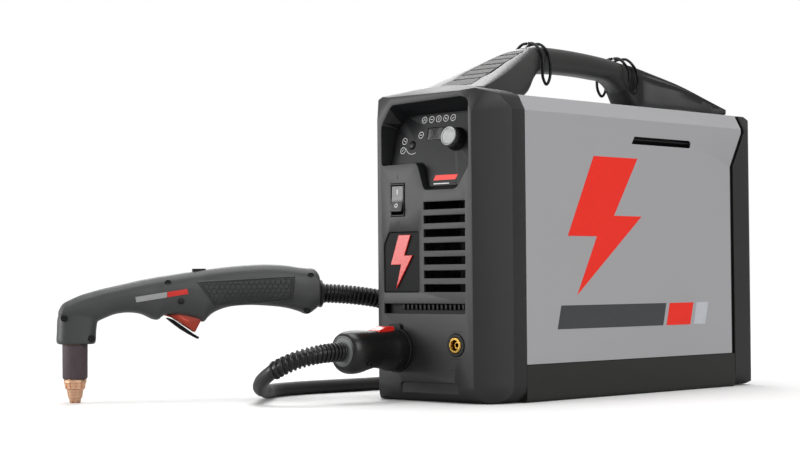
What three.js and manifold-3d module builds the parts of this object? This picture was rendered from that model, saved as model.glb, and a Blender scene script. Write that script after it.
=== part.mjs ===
// Plasma cutter unit: a portable power supply in a sheet metal and moulded case, with its hand torch.
// Millimetres, +Z up. The origin is the centre of the case's flat underside. Seen from the front,
// +X is to the right, and the front faces -Y.

import * as THREE from 'three';
import { mergeVertices } from 'three/addons/utils/BufferGeometryUtils.js';
import Module from 'manifold-3d';

const wasm = await Module();
wasm.setup();

// ---- Driving dimensions -------------------------------------------------------------------------

const GAP = 0.3;            // clearance between neighbouring pieces
const WALL = 3;             // moulded wall
const SHEET = 1.5;          // cover sheet

const HALF_W = 86.5;        // half the width of the case
const FRONT_Y = -221;       // front face
const REAR_Y = 221;         // rear face
const FACE_HALF = 62.7;     // half the flat of the front face
const CHAMFER_Y = -190.3;   // where the front chamfers meet the sides
const FRONT_SEAM = -171;    // front bezel meets the cover
const TRAY_H = 36;          // height of the base tray
const EAVE_Z = 280;         // top of the flat sides
const EAVE_X = 78.5;        // half width at the top of the sloped shoulder
const SHOULDER_Z = 295;
const ROOF_Z = 300;         // crown of the cover
const CREST_Y = -188;       // crest of the front bezel's roof
const CREST_Z = 309;
const FOOT_ROUND = 18;      // lower corners
const FRONT_ROLL = 18;      // front face curves under by this much

const REAR_SEAM = [[172, 0], [172, 238], [194, 275], [194, 320]];   // cover's rear edge, [y, z]
const REAR_STRIP = 6;       // width of the dark strip between cover and rear bezel

const PANEL_TILT = THREE.MathUtils.degToRad(11.9);
const PANEL_Y = -215;       // foot of the tilted control panel
const PANEL_Z = 205;

const KNOB = { x: 30.7, v: 49, skirtR: 12, capR: 9.8, reach: 14.6 };
const DISPLAY = { x0: -9.6, x1: 14, v0: 50.3, v1: 62.6 };
const MODE_BUTTON = { x: -28, v: 46, r: 4 };

const SWITCH = { x0: -43.4, x1: -27, z0: 182, z1: 211, pivotY: -214, rest: 8 };
const SLOTS = { count: 7, x0: -0.5, x1: 53, z0: 106.3, pitch: 13.27, height: 7.3 };
const WIDE_SLOT = { x0: -54.4, x1: 52.3, z0: 85.5, z1: 94.9 };
const EMBLEM = { x0: -54.6, x1: -7, z0: 106, z1: 165, depth: 3 };
const WORK_SOCKET = { x: 40.2, z: 55.5, bodyR: 11, ringR: 7.4, boreR: 5 };
const PLUG = { x: -38, z: 50, rear: -295, seat: -224.8, noseR: 15 };
const SIDE_SLOT = { y0: -3, y1: 100, z0: 254.8, z1: 262.5 };

const CLIPS = [
  { name: 'wire_clip_front', y: -58, spacing: 11, halfX: 20.1, topZ: 360.4, bottomZ: 317 },
  { name: 'wire_clip_rear', y: 87, spacing: 14, halfX: 21.6, topZ: 356, bottomZ: 317 },
];
const CLIP_R = 1.5;

const FAN = { x: 20, z: 168, y0: 188, y1: 211, half: 58, boreR: 55, rotorR: 52, hubR: 20, blades: 7 };
const INLET = { x: -52, z: 122 };
const GLAND = { x: -52, z: 66 };

const TORCH_AT = [-270.9, -438.5, 0];      // tip of the torch on the floor
const TORCH_TURN = THREE.MathUtils.degToRad(59);
const NOZZLE_X = 2.6;       // axis of the torch's working parts, in the torch's own frame
const TORCH_HALF = 17;      // half the thickness of the torch handle
const TRIGGER_PIVOT = [100.5, 87];

const LEAD_R = 7;
const BOOT_R = 9;
const COIL = { x: -202, y: 140, inner: 43, outer: 97, height: 56 };
const FRONT_BOOT = 82;      // length of the ribbed strain relief at the plug
const REAR_BOOT = 112;      // and of the one at the torch

// Centre line from the plug to the coil: out of the plug, down to the floor and round behind.
const LEAD_FRONT = [
  [-38, -296.2, 50], [-38.4, -308, 49.9], [-42, -321, 48.8], [-49, -332.5, 46], [-58, -341, 42],
  [-68.5, -346.8, 36.8], [-81, -349, 30.6], [-95, -346, 23.5], [-109, -337, 17.5], [-122, -324, 13.5], [-136, -307, 11],
  [-152, -290, 8.5], [-167, -274, 7.3], [-178, -255, 7.1], [-184, -230, 7.1], [-186, -200, 7.1],
  [-184, -170, 7.1], [-181, -140, 7.1], [-180, -108, 7.1], [-182, -72, 7.1], [-192, -34, 7.1],
  [-213, 0, 7.1], [-240, 27, 7.1], [-268, 51, 7.1], [-286, 70, 7.1], [-291.5, 84, 7.1],
];

// Centre line from the coil's top turn to the back of the torch, with a shallow sag between them.
const LEAD_REAR = [
  [-112, 84, 49], [-111, 40, 49.5], [-108.5, 0, 53], [-106, -40, 61], [-104.5, -75, 71],
  [-104.5, -110, 82.5], [-107, -145, 93], [-113.5, -171, 99.3], [-121.5, -189, 102.3],
  [-131.3, -206.2, 104.3], [-141.2, -222.7, 105.4],
];

// ---- Materials ----------------------------------------------------------------------------------

function finish(color, roughness, metalness = 0) {
  return new THREE.MeshStandardMaterial({ color, roughness, metalness });
}

const MATERIAL = {
  bezel: finish(0x4a4b4c, 0.55),
  darkPlastic: finish(0x1d1e1f, 0.5),
  panel: finish(0x2c2d2f, 0.45),
  window: finish(0x14180f, 0.1),
  silver: finish(0xd9dadc, 0.3, 0.6),
  cover: finish(0xa9abaf, 0.4, 0.35),
  red: finish(0xd8301f, 0.35),
  brass: finish(0xc9a35a, 0.3, 1),
  copper: finish(0xc77b52, 0.28, 1),
  steel: finish(0x8c8e90, 0.35, 1),
  aluminium: finish(0xb9bbbd, 0.4, 1),
  wire: finish(0x151515, 0.4, 0.6),
  board: finish(0x1f5a34, 0.5),
  winding: finish(0x9a5a2a, 0.45, 0.5),
  torch: finish(0x2a2b2b, 0.6),
  cap: finish(0x4a4045, 0.6),
  rubber: finish(0x161616, 0.7),
  clear: finish(0x9fb7c4, 0.1),
};

// ---- Solids -------------------------------------------------------------------------------------

/** Closed solid from a geometry: shared points merged, empty triangles dropped, faces outward. */
function solid(geometry) {
  if (!geometry.isBufferGeometry) return geometry;
  const bare = new THREE.BufferGeometry();
  bare.setAttribute('position', geometry.getAttribute('position').clone());
  bare.setIndex(geometry.getIndex());
  const merged = mergeVertices(bare, 1e-4);
  const points = merged.getAttribute('position');
  const index = merged.getIndex().array;
  const triangles = [];
  const [a, b, c] = [new THREE.Vector3(), new THREE.Vector3(), new THREE.Vector3()];
  let volume = 0;
  for (let i = 0; i < index.length; i += 3) {
    const [p, q, r] = [index[i], index[i + 1], index[i + 2]];
    if (p === q || q === r || r === p) continue;
    triangles.push([p, q, r]);
    a.fromBufferAttribute(points, p);
    b.fromBufferAttribute(points, q);
    c.fromBufferAttribute(points, r);
    volume += a.dot(b.cross(c));
  }
  const outward = volume > 0 ? triangles : triangles.map(([p, q, r]) => [p, r, q]);
  const triVerts = Uint32Array.from(outward.flat());
  const vertProperties = Float32Array.from(points.array);
  return new wasm.Manifold(new wasm.Mesh({ numProp: 3, vertProperties, triVerts }));
}

function join(first, ...rest) {
  return rest.reduce((sum, piece) => sum.add(solid(piece)), solid(first));
}

function cut(body, ...tools) {
  return tools.reduce((rest, tool) => rest.subtract(solid(tool)), solid(body));
}

function meet(first, ...rest) {
  return rest.reduce((common, piece) => common.intersect(solid(piece)), solid(first));
}

/** Named mesh of one closed solid. */
function part(name, material, shape) {
  const { vertProperties, triVerts } = solid(shape).getMesh();
  const geometry = new THREE.BufferGeometry();
  geometry.setAttribute('position', new THREE.BufferAttribute(vertProperties, 3));
  geometry.setIndex(new THREE.BufferAttribute(triVerts, 1));
  geometry.computeVertexNormals();
  const mesh = new THREE.Mesh(geometry, material);
  mesh.name = name;
  return mesh;
}

/** Point at most `reach` from the corner on the way to the neighbouring corner. */
function along([x, y], [nx, ny], reach) {
  const length = Math.hypot(nx - x, ny - y);
  const share = Math.min(reach / length, 0.5);
  return [x + (nx - x) * share, y + (ny - y) * share];
}

/** Closed outline through corners [a, b, radius]; a corner with a radius is rounded off. */
function outline(corners) {
  const shape = new THREE.Shape();
  const count = corners.length;
  corners.forEach((corner, i) => {
    const [x, y, radius = 0] = corner;
    const step = i === 0 ? 'moveTo' : 'lineTo';
    if (radius === 0) {
      shape[step](x, y);
      return;
    }
    const before = along(corner, corners[(i + count - 1) % count], radius);
    const after = along(corner, corners[(i + 1) % count], radius);
    shape[step](...before);
    shape.quadraticCurveTo(x, y, ...after);
  });
  shape.closePath();
  return shape;
}

// Places of a shape's own x, y and depth: across x it lies in [y, z], across y in [x, z].
const UP = {
  x: [new THREE.Vector3(0, 1, 0), new THREE.Vector3(0, 0, 1), new THREE.Vector3(1, 0, 0)],
  y: [new THREE.Vector3(1, 0, 0), new THREE.Vector3(0, 0, 1), new THREE.Vector3(0, 1, 0)],
  z: [new THREE.Vector3(1, 0, 0), new THREE.Vector3(0, 1, 0), new THREE.Vector3(0, 0, 1)],
};

/** Prism across an axis between two stations, inset from its outline or rounded at its ends. */
function prism(axis, from, to, corners, { inset = 0, round = 0, curve = 4 } = {}) {
  const shape = corners.isShape ? corners : outline(corners);
  const geometry = new THREE.ExtrudeGeometry(shape, {
    depth: to - from - 2 * round,
    curveSegments: curve,
    bevelEnabled: inset !== 0 || round !== 0,
    bevelThickness: round,
    bevelSize: round,
    bevelOffset: -inset - round,
    bevelSegments: round > 0 ? 3 : 1,
  });
  geometry.translate(0, 0, from + round);
  return geometry.applyMatrix4(new THREE.Matrix4().makeBasis(...UP[axis]));
}

/** Box between two corners. */
function box([x0, x1], [y0, y1], [z0, z1]) {
  const geometry = new THREE.BoxGeometry(x1 - x0, y1 - y0, z1 - z0);
  return geometry.translate((x0 + x1) / 2, (y0 + y1) / 2, (z0 + z1) / 2);
}

/** Turned shape: profile points [radius, height along the axis], centred on `at`. */
function turned(axis, profile, at, sides = 16) {
  const points = profile.map(([radius, height]) => new THREE.Vector2(radius, height));
  const geometry = new THREE.LatheGeometry(points, sides);
  if (axis === 'z') geometry.rotateX(Math.PI / 2);
  if (axis === 'x') geometry.rotateZ(-Math.PI / 2);
  return geometry.translate(...at);
}

function rod(axis, radius, from, to, at, sides = 16) {
  return turned(axis, [[0, from], [radius, from], [radius, to], [0, to]], at, sides);
}

function tubeRing(axis, inner, outer, from, to, at, sides = 16) {
  const profile = [[inner, from], [outer, from], [outer, to], [inner, to], [inner, from]];
  return turned(axis, profile, at, sides);
}

/** Ring of points on a superellipse about `centre`; power 2 is an ellipse, a higher one is squarer. */
function ring(centre, across, up, halfAcross, halfUp, power = 2, count = 16) {
  return Array.from({ length: count }, (_, i) => {
    const angle = (i / count) * 2 * Math.PI;
    const bend = (value) => Math.sign(value) * Math.abs(value) ** (2 / power);
    const point = new THREE.Vector3(...centre);
    point.addScaledVector(new THREE.Vector3(...across), halfAcross * bend(Math.cos(angle)));
    return point.addScaledVector(new THREE.Vector3(...up), halfUp * bend(Math.sin(angle)));
  });
}

/** Solid skinned over rings of equal count. `caps` lists the triangles that close each end. */
function skin(rings, caps) {
  const count = rings[0].length;
  const fan = Array.from({ length: count - 2 }, (_, i) => [0, i + 1, i + 2]);
  const lid = caps ?? fan;
  const last = (rings.length - 1) * count;
  const triangles = lid.map(([p, q, r]) => [p, r, q]);
  for (let row = 0; row < rings.length - 1; row += 1) {
    for (let i = 0; i < count; i += 1) {
      const next = (i + 1) % count;
      const [p, q] = [row * count + i, row * count + next];
      triangles.push([p, q, q + count], [p, q + count, p + count]);
    }
  }
  triangles.push(...lid.map((face) => face.map((i) => i + last)));
  const geometry = new THREE.BufferGeometry().setFromPoints(rings.flat());
  return geometry.setIndex(triangles.flat());
}

/** Tapered pocket across y from one outline to another with the same corners. */
function frustum(from, fromCorners, to, toCorners) {
  const flat = [fromCorners, toCorners].map((corners) => outline(corners).getPoints(3).slice(0, -1));
  const caps = THREE.ShapeUtils.triangulateShape(flat[0], []);
  const rings = [from, to].map((y, end) => flat[end].map((p) => new THREE.Vector3(p.x, y, p.y)));
  return skin(rings, caps);
}

/** Everything beyond the plane through three points, seen anticlockwise from outside. */
function beyond(a, b, c) {
  const [p, q, r] = [a, b, c].map((point) => new THREE.Vector3(...point));
  const normal = q.clone().sub(p).cross(r.clone().sub(p)).normalize();
  const side = q.sub(p).normalize();
  const turn = new THREE.Matrix4().makeBasis(side, normal.clone().cross(side), normal);
  const block = new THREE.BoxGeometry(300, 300, 60).translate(0, 0, 30);
  return block.applyMatrix4(turn.setPosition(p));
}

/** Part of a longer curve between two shares of its length. */
class Stretch extends THREE.Curve {
  constructor(route, from, to) {
    super();
    Object.assign(this, { route, from, to });
  }

  getPoint(t, target = new THREE.Vector3()) {
    return this.route.getPointAt(this.from + (this.to - this.from) * t, target);
  }
}

function curveThrough(points) {
  return new THREE.CatmullRomCurve3(points.map((point) => new THREE.Vector3(...point)));
}

/** Round tube of constant radius along a curve. */
function tube(path, radius, sides, steps) {
  const section = new THREE.Shape();
  section.absarc(0, 0, radius, 0, 2 * Math.PI);
  const points = section.getSpacedPoints(sides).slice(0, sides);
  const options = { steps, bevelEnabled: false, extrudePath: path };
  return new THREE.ExtrudeGeometry(new THREE.Shape(points), options);
}

// ---- Case ---------------------------------------------------------------------------------------

/** Half outlines [x, z] mirrored into a symmetric one, from lower right over the top to lower left. */
function mirrored(half) {
  const left = half.filter(([x]) => x > 0).map(([x, z, radius]) => [-x, z, radius]).reverse();
  return [...half, ...left];
}

const CASE_FACE = mirrored([
  [HALF_W, 0, FOOT_ROUND], [HALF_W, EAVE_Z], [EAVE_X, SHOULDER_Z, 4], [62, ROOF_Z], [31, 306], [0, 308.5],
]);

function bezelEnvelope(back, inset = 0) {
  const plan = prism('z', -5, 330, [
    [-HALF_W, back], [-HALF_W, CHAMFER_Y], [-FACE_HALF, FRONT_Y],
    [FACE_HALF, FRONT_Y], [HALF_W, CHAMFER_Y], [HALF_W, back],
  ], { inset });
  const face = prism('y', FRONT_Y - 5, back + 5, CASE_FACE, { inset });
  const side = prism('x', -100, 100, [
    [FRONT_Y, 0, FRONT_ROLL], [back, 0], [back, 304], [CREST_Y, CREST_Z, 3], [FRONT_Y, 298],
  ], { inset });
  return meet(plan, face, side);
}

const PANEL_MATRIX = new THREE.Matrix4()
  .makeRotationX(-PANEL_TILT)
  .setPosition(0, PANEL_Y, PANEL_Z);

/** Geometry given in the control panel's frame: x across, -y out of the panel, z up along it. */
function onPanel(geometry) {
  return geometry.applyMatrix4(PANEL_MATRIX);
}

function panelPlaneY(z) {
  return PANEL_Y + (z - PANEL_Z) * Math.tan(PANEL_TILT);
}

/** Space in front of the tilted panel plane, moved back by `shift`. */
function beforePanel(halfWidth, low, high, shift = 0) {
  return prism('x', -halfWidth, halfWidth, [
    [-230, low], [panelPlaneY(low) + shift, low], [panelPlaneY(high) + shift, high], [-230, high],
  ]);
}

function controlRecess() {
  const rim = [
    [-57, 231, 3], [-9, 232, 5], [0, 205, 4], [42, 205, 4],
    [58, 226, 4], [58, 293, 9], [-43, 290, 4], [-57, 270, 4],
  ];
  const floor = [
    [-51.5, 229, 3], [-6.5, 230, 5], [1, 207, 4], [41, 207, 4],
    [56, 227, 4], [56, 279.5, 6], [-40.5, 278.5, 4], [-51, 266, 4],
  ];
  const pocket = frustum(FRONT_Y - 0.4, rim, -196, floor);
  return meet(pocket, beforePanel(100, 195, 305));
}

function panelPlate() {
  const edge = [
    [-53.4, 27.6, 3], [-8, 27.8, 4], [1.6, 3.2, 3], [40.2, 3.2, 3],
    [55.4, 23, 3], [54, 75.4, 5], [-41, 74.4, 4], [-51.4, 63, 4],
  ];
  const plate = cut(
    prism('y', -1.5, -GAP, edge, { curve: 3 }),
    box([DISPLAY.x0, DISPLAY.x1], [-5, 5], [DISPLAY.v0, DISPLAY.v1]),
    rod('y', 4.5, -5, 5, [KNOB.x, 0, KNOB.v], 16),
    rod('y', MODE_BUTTON.r + 0.4, -5, 5, [MODE_BUTTON.x, 0, MODE_BUTTON.v], 16),
  );
  return plate;
}

function slotBox(index, [y0, y1]) {
  const z = SLOTS.z0 + index * SLOTS.pitch;
  return box([SLOTS.x0, SLOTS.x1], [y0, y1], [z, z + SLOTS.height]);
}

const EMBLEM_EDGE = [
  [EMBLEM.x0, EMBLEM.z0, 2], [EMBLEM.x1, EMBLEM.z0, 2], [EMBLEM.x1, EMBLEM.z1, 2],
  [EMBLEM.x0 + 7, EMBLEM.z1, 2], [EMBLEM.x0, EMBLEM.z1 - 12, 2],
];

function frontBezel() {
  const backing = join(
    beforePanel(65, 200, 300, 3),
    box([-58, -3.5], [FRONT_Y, -214], [102, 169]),
  );
  const cavity = cut(bezelEnvelope(FRONT_SEAM + 10, WALL), backing);
  const corners = [1, -1].map((side) => {
    const low = [side * FACE_HALF, FRONT_Y, 276];
    const apex = [side * 69.6, -212.1, 298.5];
    const top = [side * 46, FRONT_Y, 298.5];
    return side > 0 ? beyond(low, apex, top) : beyond(low, top, apex);
  });
  const slots = Array.from({ length: SLOTS.count }, (_, i) => slotBox(i, [-225, -205]));
  return cut(
    bezelEnvelope(FRONT_SEAM - GAP),
    cavity,
    ...corners,
    controlRecess(),
    ...slots,
    box([WIDE_SLOT.x0, WIDE_SLOT.x1], [-225, -205], [WIDE_SLOT.z0, WIDE_SLOT.z1]),
    box([SWITCH.x0 - 1.3, SWITCH.x1 + 1.3], [-225, -200], [SWITCH.z0 - 1.7, SWITCH.z1 + 1.7]),
    prism('y', FRONT_Y - 1, FRONT_Y + EMBLEM.depth, EMBLEM_EDGE, { curve: 3 }),
    rod('y', 19.3, -230, -200, [PLUG.x, 0, PLUG.z], 28),
    rod('y', WORK_SOCKET.bodyR + GAP, -230, -200, [WORK_SOCKET.x, 0, WORK_SOCKET.z]),
    prism('y', FRONT_Y - 1, FRONT_Y + 2, [[-33, -1], [42, -1], [42, 19, 4], [-33, 19, 4]]),
    onPanel(box([DISPLAY.x0, DISPLAY.x1], [-5, 12], [DISPLAY.v0, DISPLAY.v1])),
    onPanel(rod('y', 4.5, -5, 20, [KNOB.x, 0, KNOB.v], 16)),
    onPanel(rod('y', MODE_BUTTON.r + 0.4, -5, 20, [MODE_BUTTON.x, 0, MODE_BUTTON.v], 16)),
  );
}

function controls() {
  const group = new THREE.Group();
  group.position.set(0, PANEL_Y, PANEL_Z);
  group.rotation.x = -PANEL_TILT;
  const { x0, x1, v0, v1 } = DISPLAY;
  const at = [KNOB.x, 0, KNOB.v];
  const skirt = turned('y', [
    [0, -8.4], [KNOB.skirtR - 2.5, -8.4], [KNOB.skirtR - 1.5, -7.4], [KNOB.skirtR, -2.2],
    [3.5, -2.2], [3.5, 9], [0, 9],
  ], at, 20);
  const cap = turned('y', [
    [0, -KNOB.reach], [KNOB.capR - 1, -KNOB.reach], [KNOB.capR, -KNOB.reach + 1],
    [KNOB.capR, -8.7], [0, -8.7],
  ], at, 20);
  const button = turned('y', [
    [0, -2.6], [MODE_BUTTON.r - 0.8, -2.6], [MODE_BUTTON.r, -1.8], [MODE_BUTTON.r, 6], [0, 6],
  ], [MODE_BUTTON.x, 0, MODE_BUTTON.v], 16);
  group.add(
    part('control_panel', MATERIAL.panel, panelPlate()),
    part('display_window', MATERIAL.window, box([x0 + GAP, x1 - GAP], [-1, 4], [v0 + GAP, v1 - GAP])),
    part('knob_skirt', MATERIAL.darkPlastic, skirt),
    part('knob_cap', MATERIAL.silver, cap),
    part('mode_button', MATERIAL.darkPlastic, button),
  );
  return group;
}

function switchFrame() {
  const outer = box([SWITCH.x0 - 1, SWITCH.x1 + 1], [FRONT_Y - 0.8, -203], [SWITCH.z0 - 1.4, SWITCH.z1 + 1.4]);
  return cut(outer, box([SWITCH.x0, SWITCH.x1], [-230, -206], [SWITCH.z0, SWITCH.z1]));
}

/** Rocker about its pivot: a shallow V across the front, so one end stands out at a time. */
function rocker() {
  const edge = [[-7.6, 0, 3], [-9.28, -12.9, 1], [-2, -13.1], [4, -9], [4, 9], [-2, 13.1], [-9.28, 12.9, 1]];
  const mesh = part('rocker_switch', MATERIAL.darkPlastic, prism('x', SWITCH.x0 + 0.4, SWITCH.x1 - 0.4, edge));
  mesh.position.set(0, SWITCH.pivotY, (SWITCH.z0 + SWITCH.z1) / 2);
  mesh.rotation.x = -THREE.MathUtils.degToRad(SWITCH.rest);
  return mesh;
}

/** Angled slats behind the front slots, held by a bar at each end. */
function frontLouvre() {
  const [x0, x1] = [SLOTS.x0 - 3, SLOTS.x1 + 3];
  const top = SLOTS.z0 + (SLOTS.count - 1) * SLOTS.pitch + SLOTS.height;
  const bars = [x0, x1 - 3].map((x) => box([x, x + 3], [-214, -206], [SLOTS.z0 - 4, top + 4]));
  const slats = Array.from({ length: SLOTS.count + 1 }, (_, i) => {
    const z = SLOTS.z0 - 6.5 + i * SLOTS.pitch;
    const edge = [[-214, z + 3], [-206, z], [-206, z + 2], [-214, z + 5]];
    return prism('x', x0 + 1, x1 - 1, edge);
  });
  return join(bars[0], bars[1], ...slats);
}

/** Toothed strip behind the wide slot. */
function slotComb() {
  const { x0, x1, z0, z1 } = WIDE_SLOT;
  const bar = box([x0 - 2, x1 + 2], [-214, -211], [z0 - 2, z1 + 2]);
  const pitch = 5.6;
  const count = Math.floor((x1 - x0 - 22) / pitch);
  const teeth = Array.from({ length: count }, (_, i) => {
    const x = x0 + 21 + i * pitch;
    return box([x, x + 2.8], [-217, -210.5], [z0 + 3.5, z1 - 0.6]);
  });
  return join(bar, ...teeth);
}

function emblem() {
  const plate = prism('y', FRONT_Y + 1, FRONT_Y + EMBLEM.depth - GAP, EMBLEM_EDGE, { inset: 0.6, curve: 3 });
  const bolt = prism('y', FRONT_Y - 0.6, FRONT_Y + 1 - GAP, [
    [-34, 162], [-18, 162], [-26.5, 142], [-15.5, 142], [-38, 109], [-31, 133], [-45, 133],
  ]);
  return [part('emblem_plate', MATERIAL.darkPlastic, plate), part('emblem_bolt', MATERIAL.red, bolt)];
}

function frontFittings() {
  const receptacle = turned('y', [
    [0, -195], [16, -195], [16, -224.3], [22, -224.3], [22, -221.3], [19, -221.3], [19, -190], [0, -190],
  ], [PLUG.x, 0, PLUG.z], 24);
  const lug = prism('y', -224.3, -221.3, [[-47, 66], [-30, 66], [-30, 75.5, 3], [-47, 75.5, 3]]);
  const { x, z, bodyR, ringR, boreR } = WORK_SOCKET;
  const socketAt = [x, 0, z];
  return [
    part('torch_receptacle', MATERIAL.darkPlastic, join(receptacle, cut(lug, rod('y', 19, -230, -200, [PLUG.x, 0, PLUG.z], 24)))),
    part('work_socket_body', MATERIAL.darkPlastic, tubeRing('y', ringR + GAP, bodyR, -222, -194, socketAt)),
    part('work_socket_contact', MATERIAL.brass, tubeRing('y', boreR, ringR, -223, -188, socketAt, 20)),
  ];
}

/** Cover's outer or inner section; `inset` moves it in from the outer face. */
function coverSection(y0, y1, inset = 0) {
  const crown = mirrored([
    [HALF_W, TRAY_H + GAP - 20], [HALF_W, EAVE_Z], [EAVE_X, SHOULDER_Z], [40, 298.5], [0, ROOF_Z],
  ]);
  return prism('y', y0, y1, crown, { inset });
}

/** Space between two lines that follow the slanted rear seam, each moved back by its offset. */
function seamBand(low, fromOffset, toOffset) {
  const edge = (offset) => REAR_SEAM.map(([y, z]) => [y + offset, Math.max(z, low)]);
  return prism('x', -100, 100, [...edge(toOffset), ...edge(fromOffset).reverse()]);
}

function cover() {
  const shell = cut(coverSection(-250, 250), coverSection(-260, 260, SHEET));
  const low = TRAY_H + GAP;
  const rearEdge = REAR_SEAM.map(([y, z]) => [y, Math.max(z, low)]);
  const side = prism('x', -100, 100, [[FRONT_SEAM + GAP, low], ...rearEdge, [FRONT_SEAM + GAP, 320]]);
  const trimmed = meet(shell, side);
  const { y0, y1, z0, z1 } = SIDE_SLOT;
  const slot = prism('x', -100, 100, [[y0, z0], [y1, z0, 4], [y1, z1, 4], [y0 + 5, z1]]);
  return cut(trimmed, slot);
}

function sideLouvre(side) {
  const { y0, y1, z0, z1 } = SIDE_SLOT;
  const face = HALF_W - SHEET - GAP;
  const plate = box([face - 7, face], [y0 - 6, y1 + 6], [z0 - 6, z1 + 5]);
  const channel = box([face - 6, face + 1], [y0, y1], [z0 - 1, z1 + 1]);
  const slat = prism('y', y0 - 1, y1 + 1, [
    [face - 6.5, z0 + 1], [face - 1, z0 + 4.5], [face - 1, z0 + 6], [face - 6.5, z0 + 2.5],
  ]);
  const whole = join(cut(plate, channel), slat).getMesh();
  const geometry = new THREE.BufferGeometry();
  geometry.setAttribute('position', new THREE.BufferAttribute(whole.vertProperties, 3));
  geometry.setIndex(new THREE.BufferAttribute(whole.triVerts, 1));
  return geometry.scale(side, 1, 1);
}

function baseTray() {
  const [y0, y1] = [FRONT_SEAM, 178 - GAP];
  const section = [[-HALF_W, 0, 4], [HALF_W, 0, 4], [HALF_W, TRAY_H], [-HALF_W, TRAY_H]];
  const inside = box([-HALF_W + WALL, HALF_W - WALL], [y0 + WALL, y1 - WALL], [WALL + 1, TRAY_H + 5]);
  return cut(prism('y', y0, y1, section), inside);
}

function rearEnvelope(inset = 0) {
  const front = 120;
  const plan = prism('z', -5, 330, [
    [-HALF_W, front], [HALF_W, front], [HALF_W, 207], [78, REAR_Y], [-78, REAR_Y], [-HALF_W, 207],
  ], { inset });
  const face = prism('y', front - 5, REAR_Y + 5, mirrored([
    [HALF_W, 0, FOOT_ROUND], [HALF_W, EAVE_Z], [EAVE_X, SHOULDER_Z], [40, 298.5], [0, ROOF_Z],
  ]), { inset });
  const side = prism('x', -100, 100, [
    [front, 0], [REAR_Y, 0, 17], [REAR_Y, 289, 4], [203, 300.5], [front, 300.5],
  ], { inset });
  return meet(plan, face, side);
}

function rearBezel() {
  const mouth = rod('y', FAN.boreR + 2, 200, 240, [FAN.x, 0, FAN.z], 40);
  const behindSeam = seamBand(-1, REAR_STRIP + GAP, 100);
  return cut(
    meet(rearEnvelope(), behindSeam),
    cut(rearEnvelope(WALL), box([-100, 100], [100, 150], [-10, 330])),
    mouth,
    rod('y', 10.3, 200, 240, [INLET.x, 0, INLET.z]),
    rod('y', 12.3, 200, 240, [GLAND.x, 0, GLAND.z]),
  );
}

/** Dark strip that fills the seam between the cover and the rear bezel. */
function rearStrip() {
  const outer = coverSection(100, 215, 2.5);
  const inner = coverSection(90, 230, 5.5);
  return meet(cut(outer, inner), seamBand(TRAY_H + GAP, GAP, REAR_STRIP));
}

/** Guard over the fan: two rings and a rim joined by four bars. */
function rearGrille() {
  const at = [FAN.x, 0, FAN.z];
  const rings = [18, 37].map((radius) => tubeRing('y', radius - 1.3, radius + 1.3, 217, 220, at, 20));
  const rim = tubeRing('y', FAN.boreR - 1.5, FAN.boreR + 1.7, 217, 220.4, at, 28);
  const reach = FAN.boreR;
  const bars = [
    box([FAN.x - reach, FAN.x + reach], [217.3, 219.7], [FAN.z - 1.5, FAN.z + 1.5]),
    box([FAN.x - 1.5, FAN.x + 1.5], [217.3, 219.7], [FAN.z - reach, FAN.z + reach]),
  ];
  return join(rim, ...rings, ...bars);
}

function fan() {
  const at = [FAN.x, 0, FAN.z];
  const { half, y0, y1 } = FAN;
  const body = prism('y', y0, y1, [
    [FAN.x - half, FAN.z - half, 6], [FAN.x + half, FAN.z - half, 6],
    [FAN.x + half, FAN.z + half, 6], [FAN.x - half, FAN.z + half, 6],
  ], { curve: 2 });
  const bars = [
    box([FAN.x - half + 1, FAN.x + half - 1], [y0, y0 + 3], [FAN.z - 2.5, FAN.z + 2.5]),
    rod('y', FAN.hubR - 2, y0, y0 + 3, at),
  ];
  const frame = join(cut(body, rod('y', FAN.boreR, y0 - 1, y1 + 1, at, 36)), ...bars);
  const blade = (index) => {
    const geometry = new THREE.BoxGeometry(FAN.rotorR - FAN.hubR + 2, 1.6, 22);
    geometry.translate((FAN.rotorR + FAN.hubR) / 2 - 1, 0, 0);
    geometry.rotateX(THREE.MathUtils.degToRad(58));
    geometry.rotateY((index / FAN.blades) * 2 * Math.PI);
    return geometry.translate(FAN.x, y0 + 13.8, FAN.z);
  };
  const hub = rod('y', FAN.hubR, y0 + 3.6, y1 - 1, at);
  const rotor = join(hub, ...Array.from({ length: FAN.blades }, (_, i) => blade(i)));
  return [part('fan_frame', MATERIAL.darkPlastic, frame), part('fan_rotor', MATERIAL.darkPlastic, rotor)];
}

function rearFittings() {
  const gland = turned('y', [
    [4.6, 212], [12, 212], [12, 221.3], [14.5, 221.3], [14.5, 229], [9, 233], [4.6, 233], [4.6, 212],
  ], [GLAND.x, 0, GLAND.z]);
  const inlet = turned('y', [
    [3.2, 205], [10, 205], [10, 221.3], [12, 221.3], [12, 226], [6, 227], [6, 238], [7, 240],
    [6, 242], [3.2, 242], [3.2, 205],
  ], [INLET.x, 0, INLET.z]);
  return [
    part('power_cord_gland', MATERIAL.darkPlastic, gland),
    part('gas_inlet_fitting', MATERIAL.brass, inlet),
  ];
}

// ---- Carrying handle ----------------------------------------------------------------------------

/** Sections of the handle from front foot to rear foot: [y, low z, high z, half width, power]. */
const HANDLE_SECTIONS = [
  [-184, 296, 305.5, 47, 6], [-170, 296, 311.5, 45, 5], [-140, 296, 325, 39, 4],
  [-110, 298, 339, 31, 3.4], [-90, 304, 348, 25, 3], [-74, 318, 354, 20, 2.6],
  [-60, 327.5, 357, 17.4, 2.4], [-40, 330.4, 358, 17, 2.3], [0, 331.6, 357.6, 17, 2.3],
  [40, 330.6, 355.6, 17, 2.3], [66, 328.4, 353.4, 17, 2.3], [82, 320, 351, 17.2, 2.6],
  [96, 304, 349, 18.4, 3.2], [112, 296, 344, 25, 4], [140, 296, 331, 45, 5],
  [170, 296, 314, 61, 6], [190, 296, 303.4, 70, 6],
];

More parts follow.
